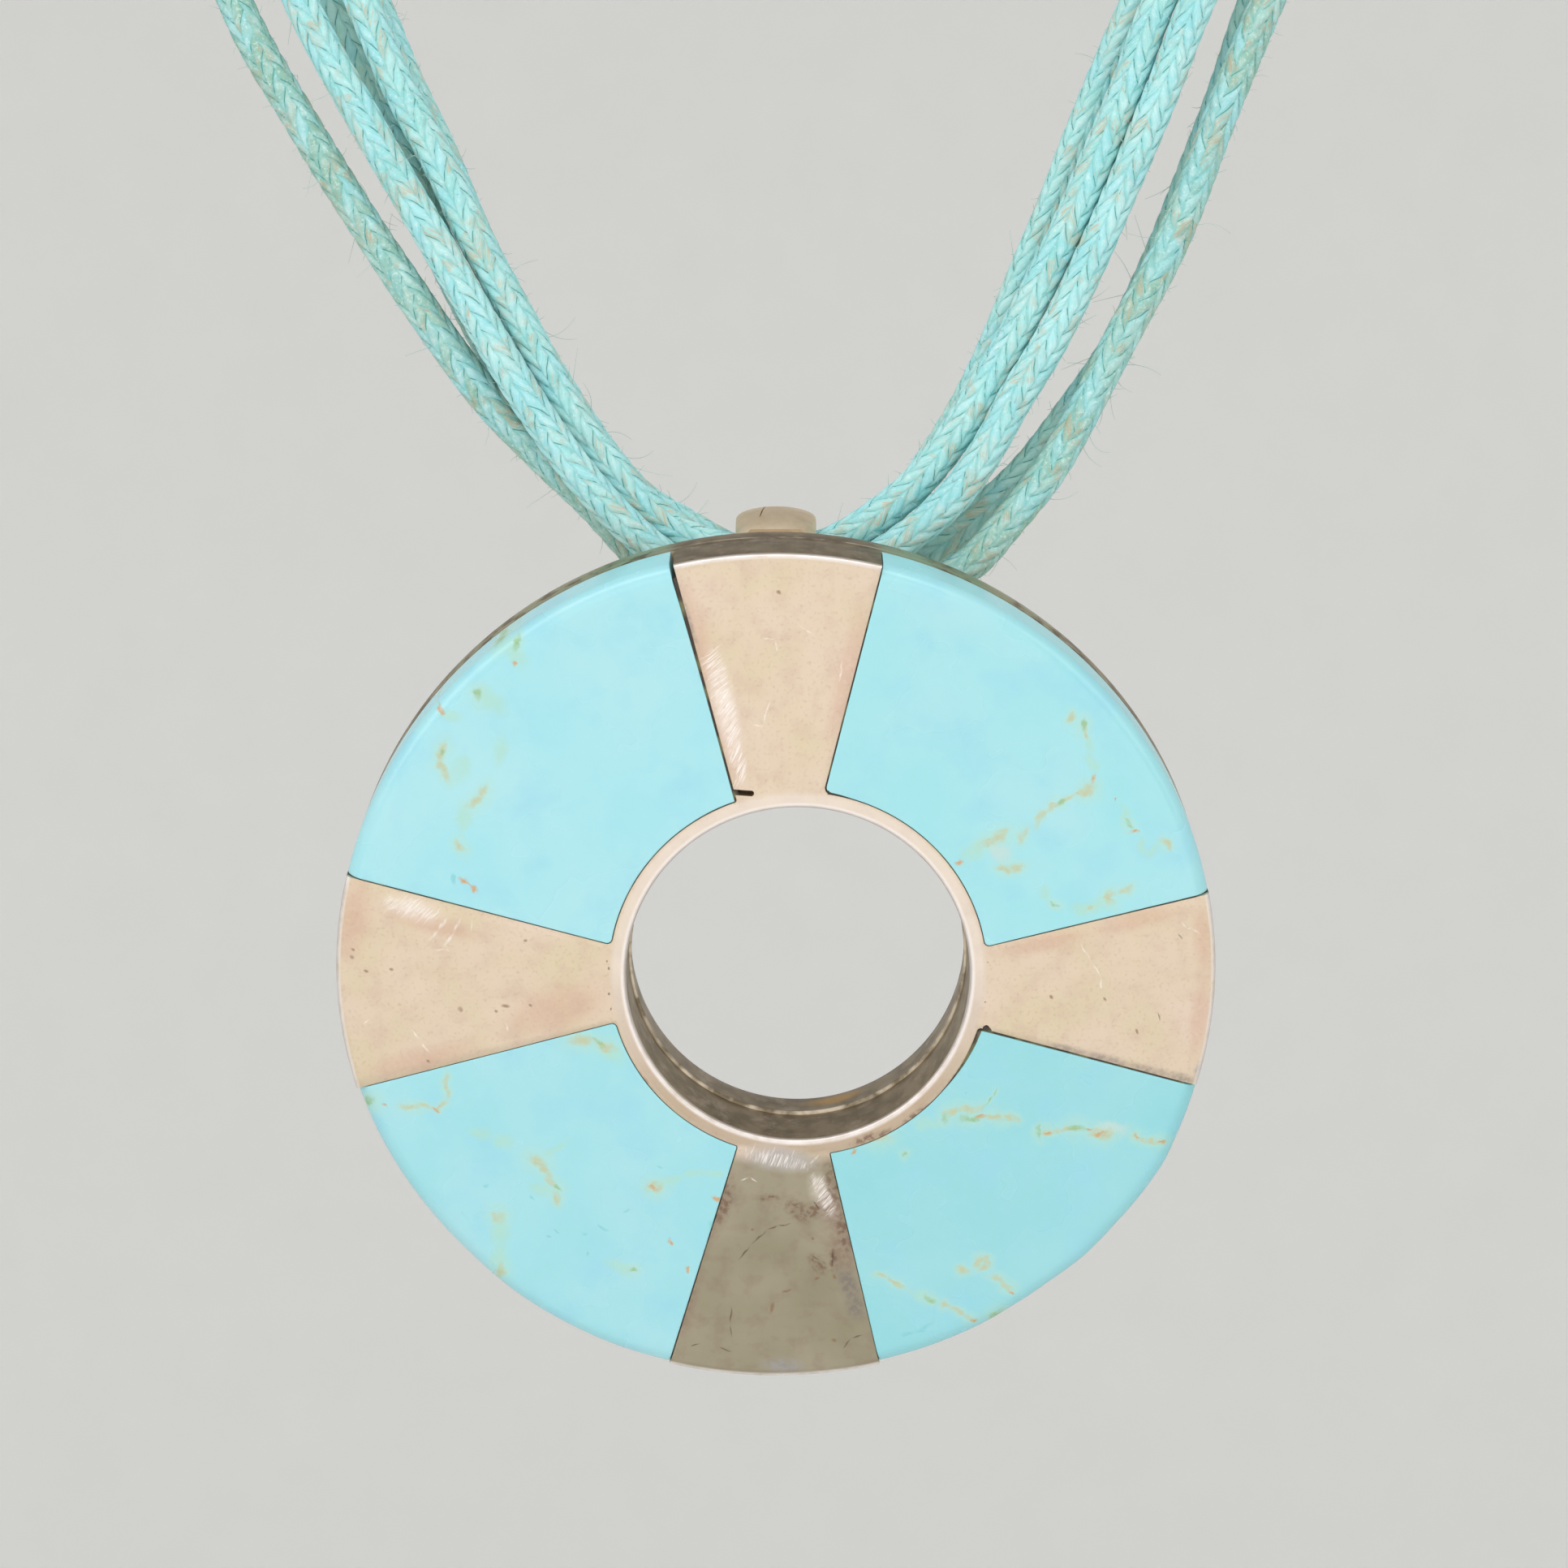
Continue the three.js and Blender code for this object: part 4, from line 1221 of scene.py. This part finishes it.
def ring_sheet(bm, layout):
    """The ring's face as a sheet, with a column where each wedge and each slab has one."""
    angles = []
    for kind, ring, _ in layout:
        wedge = [i / WEDGE_COLUMNS for i in range(WEDGE_COLUMNS)]
        angles += [between(ring, share) for share in (wedge if kind in WEDGE_JOINTS else INLAY_SHARES[:-1])]

    def on_ring(column, row):
        return (*hole_point(angles[column % len(angles)], RING_WALL * row / RING_ROWS), 0)

    woven_grid(bm, len(angles), RING_ROWS, on_ring)


def wedge_sheet(bm, ring, rim):
    """A wedge's face as a sheet, from the ring to the rim."""

    def on_wedge(column, row):
        share = column / WEDGE_COLUMNS
        inner = hole_point(between(ring, share), RING_WALL)
        return (*inner.lerp(rim_point(between(rim, share)), WEDGE_SHARES[row]), 0)

    woven_grid(bm, WEDGE_COLUMNS, WEDGE_ROWS, on_wedge)


def front_edges(bm):
    """The edges between the front and its walls: round the hole, round the rim, and along the joints."""
    at_hole, at_rim, at_joint = [], [], []
    level, steep = 0.9, 0.4
    for edge in bm.edges:
        leans = [face.normal.z for face in edge.link_faces]
        if len(leans) == 2 and max(leans) > level and min(leans) < steep:
            flat = ((edge.verts[0].co + edge.verts[1].co) / 2).xy
            from_hole = flat - HOLE_CENTRE
            if math.hypot(from_hole.x / HOLE_RADII.x, from_hole.y / HOLE_RADII.y) < 1.02:
                at_hole.append(edge)
            elif flat.length > RIM_RADIUS - 0.1:
                at_rim.append(edge)
            else:
                at_joint.append(edge)
    return at_hole, at_rim, at_joint


def setting_front(material):
    """The front layer: the ring round the hole and the four wedges in one sheet, worn round at its edges."""
    bm = bmesh.new()
    layout = spans()
    ring_sheet(bm, layout)
    for kind, ring, rim in layout:
        if kind in WEDGE_JOINTS:
            wedge_sheet(bm, ring, rim)
    weld(bm)
    for corner in [v for v in bm.verts if v.is_boundary]:
        for rounded in ring_corners():
            corner.co.xy = soften_corner(corner.co.xy, *rounded)
    for corner in bm.verts:
        corner.co.z = hand_finish(corner.co.x, corner.co.y, 3.0, FILED_WAVES) - FILED_WAVES
    thickened(bm, -FRONT_LAYER)
    for group, (width, segments) in enumerate(FRONT_WEAR):
        eased(bm, front_edges(bm)[group], width, segments)
    piece = finished("setting_front", bm, material)
    cut(piece, slot_cutter("saw_slip", *SAW_SLIP), slot_cutter("corner_pit", *CORNER_PIT))
    return piece


def slot_cutter(name, start, end, width, depth):
    """A round-ended slot from place to place on the face, as a piece to cut with."""
    run = Vector(end) - Vector(start)
    bm = bmesh.new()
    above = Matrix.Translation((*start, 0.5))
    bmesh.ops.create_circle(bm, cap_ends=True, radius=width / 2, segments=20, matrix=above)
    for corner in bm.verts:
        if (corner.co.xy - Vector(start)).dot(run) > 0:
            corner.co.xy += run
    thickened(bm, -depth)
    return finished(name, bm)


def closed_band(name, section, around, material):
    """A band closed round the hole: section rows are a share from the ring to the rim, out and z in mm, and
    how far the row strays from level."""
    bm = bmesh.new()
    rows = len(section)

    def place(column, row):
        share, out, z, *sway = section[row % rows]
        angle = 2 * math.pi * (column % around) / around
        flat = hole_point(angle, RING_WALL).lerp(rim_point(angle), share)
        direction = Vector((math.cos(angle), math.sin(angle)))
        lift = noise.noise(Vector((3 * direction.x, 3 * direction.y, 5.0)))
        return (*(flat + direction * out), z + sum(sway) * lift)

    woven_grid(bm, around, rows, place)
    weld(bm)
    return finished(name, bm, material)


def setting_back(material):
    """The back plate, with a rounded back edge."""
    front, round_over, steps = -3.34, 0.5, 5
    section = [
        (0, 0.02, front), (0.5, 0, front), (1, -0.12, front), (1, -0.04, -3.38), (1, 0, -3.46), (1, 0, -4.98),
    ]
    for step in range(1, steps + 1):
        turn = math.pi / 2 * step / steps
        drop = PLATE_BACK - round_over + round_over * math.sin(turn)
        section.append((1, -round_over * (1 - math.cos(turn)), -drop))
    section += [(share / 12, 0, -PLATE_BACK) for share in range(11, 0, -1)] + [(0, 0.02, -PLATE_BACK)]
    return closed_band("setting_back", section, 180, material)


def setting_collar(material):
    """The tube that lines the hole behind the ring. Its front edge stands a little into the hole, and it
    isn't quite level."""
    inner = -RING_WALL
    section = [
        (0, inner + 0.02, -3.3), (0, inner, -3.34), (0, inner, -3.74, 0.1), (0, inner - 0.05, -3.78, 0.1),
        (0, inner - 0.14, -3.8, 0.1), (0, inner - 0.17, -3.84, 0.1), (0, inner - 0.17, -3.95, 0.1),
        (0, inner - 0.14, -4.1, 0.05), (0, inner - 0.1, -5.0), (0, inner - 0.06, -6.0),
        (0, inner + 0.02, -6.14), (0, inner + 0.16, -COLLAR_BACK), (0, -0.2, -COLLAR_BACK),
        (0, -0.06, -6.14), (0, 0, -6.0), (0, 0, -3.3),
    ]
    return closed_band("setting_collar", section, 240, material)


def solder_foot(bm, side):
    """The solder between the strap and the plate on one side: its section in mm, drawn in at its ends."""
    under_strap = (1.6, 2.2, 2.7, 3.1, 3.35)
    foot = [(0.9, 0.06)]
    foot += [(y, 0.08 - (BAIL_OUTSIDE - math.sqrt(BAIL_OUTSIDE**2 - y * y))) for y in under_strap]
    foot += [(3.42, -1.5), (3.5, -1.15), (3.62, -0.75), (3.85, -0.35), (4.15, 0.06)]
    sections = []
    for x, shrink in ((-1.9, 0.86), (-1.4, 1.0), (1.4, 1.0), (1.9, 0.86)):
        places = [
            (x, BAIL_CENTRE.y + side * (0.9 + (y - 0.9) * shrink), -PLATE_BACK + z * shrink) for y, z in foot
        ]
        sections.append([bm.verts.new(place) for place in places])
    for a, b in zip(sections, sections[1:]):
        for i in range(len(foot)):
            j = (i + 1) % len(foot)
            bm.faces.new((a[i], a[j], b[j], b[i]))
    bm.faces.new(sections[0])
    bm.faces.new(sections[-1])


def bail(material):
    """A half-round strap closed in a loop, the solder that holds it to the plate, and its open seam."""
    bm = bmesh.new()
    half, edge, steps = BAIL_WIDTH / 2, 0.06, 16
    outline = [(-half + edge, BAIL_INSIDE), (half - edge, BAIL_INSIDE)]
    for step in range(steps + 1):
        turn = math.pi * step / steps
        crown = (BAIL_OUTSIDE - BAIL_INSIDE - edge) * math.sin(turn)
        outline.append((half * math.cos(turn), BAIL_INSIDE + edge + crown))
    section = [(x, BAIL_CENTRE.y, BAIL_CENTRE.z + r) for x, r in outline]
    turned(bm, section, "X", 84, BAIL_CENTRE, closed=True)
    weld(bm)
    solder_foot(bm, 1)
    solder_foot(bm, -1)
    bmesh.ops.recalc_face_normals(bm, faces=bm.faces)
    piece = finished("bail", bm, material)
    seam = bmesh.new()
    seam_width, seam_depth, seam_length = 0.07, 0.5, 4.4
    crown = BAIL_CENTRE + Vector((-0.7, BAIL_OUTSIDE, -0.2))
    lie = Matrix.Translation(crown) @ Matrix.Rotation(math.radians(-9), 4, "Y")
    lie @= Matrix.Diagonal((seam_width, seam_depth, seam_length, 1))
    bmesh.ops.create_cube(seam, size=1, matrix=lie)
    bmesh.ops.recalc_face_normals(seam, faces=seam.faces)
    cut(piece, finished("bail_seam", seam))
    return piece


# --- the turquoise ---

JOINT_GAP = 0.045
INLAY_ROUND = 0.9
GROUND_WAVES = 0.022
# Wider gaps at a slab's two joints: at the ring, at the rim, and how the gap goes from one to the other.
PLAIN_GAP = (0.0, 0.0, 1.0)
WIDER_GAPS = {
    "upper_left": (PLAIN_GAP, (0.07, 0.2, 3.0)),
    "upper_right": ((0.06, 0.03, 0.5), PLAIN_GAP),
    "lower_right": ((0.12, 0.05, 0.35), PLAIN_GAP),
}
# A gap between a slab and the ring that closes along the ring: its width, and the share where it has closed.
RING_GAPS = {"lower_right": (0.2, 0.35), "upper_right": (0.1, 0.12)}
# How far the lower slabs stand past the disc's round, by the angle round the rim.
BULGES = {
    "lower_right": (
        [-60, -56, -50, -44, -38, -33, -27, -23, -14], [0, -0.06, -0.04, 0.12, 0.1, 0.2, 0.29, 0.18, 0.06],
    ),
    "lower_left": ([-160, -146, -136, -128, -112, -106], [-0.05, -0.12, -0.12, 0.02, 0.1, 0.08]),
}


def inlay(kind, ring, rim, material):
    """A slab of turquoise between two joints, its front ground flat and rounded over at the rim."""
    gaps = WIDER_GAPS.get(kind, (PLAIN_GAP, PLAIN_GAP))
    ring_gap, gap_end = RING_GAPS.get(kind, (0, 1))
    bulge_angles, bulge_heights = BULGES.get(kind, ([0], [0]))
    seed = 11.0 + len(kind) + ord(kind[0])
    flat_rows = INLAY_ROWS - INLAY_TURN_ROWS

    def flat_point(share, row_share, inset):
        """A place on the slab's plan, its sides drawn in by the gaps."""
        closing = ring_gap * max(0, 1 - share / gap_end)
        inner = hole_point(between(ring, share), RING_WALL + JOINT_GAP + closing)
        angle = between(rim, share)
        wrapped = math.degrees(angle + math.pi) % 360 - 180
        outer = rim_point(angle, RIM_RADIUS - inset + np.interp(wrapped, bulge_angles, bulge_heights))
        return inner.lerp(outer, row_share)

    first, second = ((flat_point(end, 1, 0) - flat_point(end, 0, 0)).normalized() for end in (0, 1))
    inwards = Vector((first.y, -first.x)), Vector((-second.y, second.x))

    def place(column, row):
        share = INLAY_SHARES[column]
        inset, z, row_share = INLAY_ROUND, 0.0, INLAY_ROW_SHARES[min(row, flat_rows)]
        if row > flat_rows:
            turn = math.pi / 2 * (row - flat_rows) / INLAY_TURN_ROWS
            inset, z = INLAY_ROUND * (1 - math.sin(turn)), -INLAY_ROUND * (1 - math.cos(turn))
        spot = flat_point(share, row_share, inset)
        fades = max(0, 1 - 4 * share), max(0, 4 * share - 3)
        for inward, (at_ring, at_rim, bend), fade in zip(inwards, gaps, fades):
            wider = at_ring + (at_rim - at_ring) * row_share**bend
            spot += inward * (JOINT_GAP + wider) * fade
        for rounded in ring_corners():
            spot = soften_corner(spot, *rounded)
        lift = hand_finish(spot.x, spot.y, seed, GROUND_WAVES) - GROUND_WAVES
        return (*spot, z + lift * (1 - min(1, -z / INLAY_ROUND)))

    bm = bmesh.new()
    woven_grid(bm, INLAY_COLUMNS, INLAY_ROWS, place)
    weld(bm)
    thickened(bm, -FRONT_LAYER + 0.05)
    corner_angle, corner_round = math.radians(50), 0.05
    corners = [
        edge for edge in bm.edges
        if len(edge.link_faces) == 2 and edge.calc_face_angle() > corner_angle
        and min(v.co.z for v in edge.verts) > -INLAY_ROUND - 0.01
    ]
    eased(bm, corners, corner_round, 2)
    piece = finished(f"inlay_{kind}_stone", bm, material)
    dress(piece, "pendant", f"inlay_{kind}")


def joint_glue(material):
    """Strips of bedding in the joints, just under the face."""
    bm = bmesh.new()
    top, bottom, wide, from_ring, from_rim = -0.1, -0.8, 0.4, 0.1, 0.75
    for kind, ring, rim in spans():
        inner = hole_point(ring[0], RING_WALL + from_ring)
        outer = rim_point(rim[0], RIM_RADIUS - from_rim)
        along = outer - inner
        lie = Matrix.Translation((*((inner + outer) / 2), (top + bottom) / 2))
        lie @= Matrix.Rotation(math.atan2(along.y, along.x), 4, "Z")
        lie @= Matrix.Diagonal((along.length, wide, top - bottom, 1))
        bmesh.ops.create_cube(bm, size=1, matrix=lie)
        if kind not in WEDGE_JOINTS:
            rows = [(-0.12, top), (0.3, top), (0.3, bottom), (-0.12, bottom)]

            def on_arc(column, row, ring=ring, rows=rows):
                out, z = rows[row % len(rows)]
                return (*hole_point(between(ring, INLAY_SHARES[column]), RING_WALL + out), z)

            woven_grid(bm, INLAY_COLUMNS, len(rows), on_arc)
    weld(bm)
    bmesh.ops.holes_fill(bm, edges=bm.edges, sides=8)
    bmesh.ops.recalc_face_normals(bm, faces=bm.faces)
    return finished("joint_glue", bm, material, smooth=False)


# --- putting it together ---

# Each strand's clean dye, its shade, and the tan where the dye has worn off. The third strand's tones are
# darker and greyer as painted shade on an outer strand, and the fourth's paler as painted light on the rear
# strand that lies in shade.
STRAND_TONES = [
    ("#B4ECEC", "#9EDEDA", "#CDBA9C"),
    ("#B8EEF0", "#A2E0DE", "#CDBA9C"),
    # Painted shade: darker and greyer than the dye, for an outer strand.
    ("#9EC6B6", "#94BCA8", "#C2AC8E"),
    # Painted light: paler than the dye, for the rear strand that lies in shade.
    ("#C8F2E6", "#BCE6D6", "#CDBC9C"),
    ("#B2E8E6", "#A0D8D0", "#CDBA9C"),
]


def hang_cords():
    """The clasp, and the five strands from cup to cup with their loose fibres, all on the cords' body, each
    strand in the place of its solid.
    """
    barrel = clasp()
    fibre = cotton_fibre()
    for index, length in enumerate(CORD_LENGTHS):
        cotton = waxed_cotton(f"cotton_waxed_braid_{index + 1}", *STRAND_TONES[index])
        piece, centres, frames = strand(index, cotton)
        dress(piece, "cords", f"cord_strand_{index + 1}")
        hairs = fuzz(index, centres, frames, fibre)
        dress(hairs, "cords")


def dress_pendant():
    """The silver, the bedding in its joints, and the four slabs, each in a stone of its own."""
    front = worn_silver("sterling_silver_filed_worn", marked=True)
    plain = worn_silver("sterling_silver_sheet_tarnished", marked=False)
    silver = [setting_front(front), setting_back(plain), setting_collar(plain), bail(plain)]
    for piece in silver:
        dress(piece, "pendant", "pendant_setting")
    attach(joint_glue(bedding_glue()), "pendant")
    for kind, ring, rim in spans():
        if kind not in WEDGE_JOINTS:
            inlay(kind, ring, rim, turquoise(f"turquoise_polished_{kind}", MATRIX[kind], *STONES[kind]))


camera()
hang_cords()
dress_pendant()
studio()
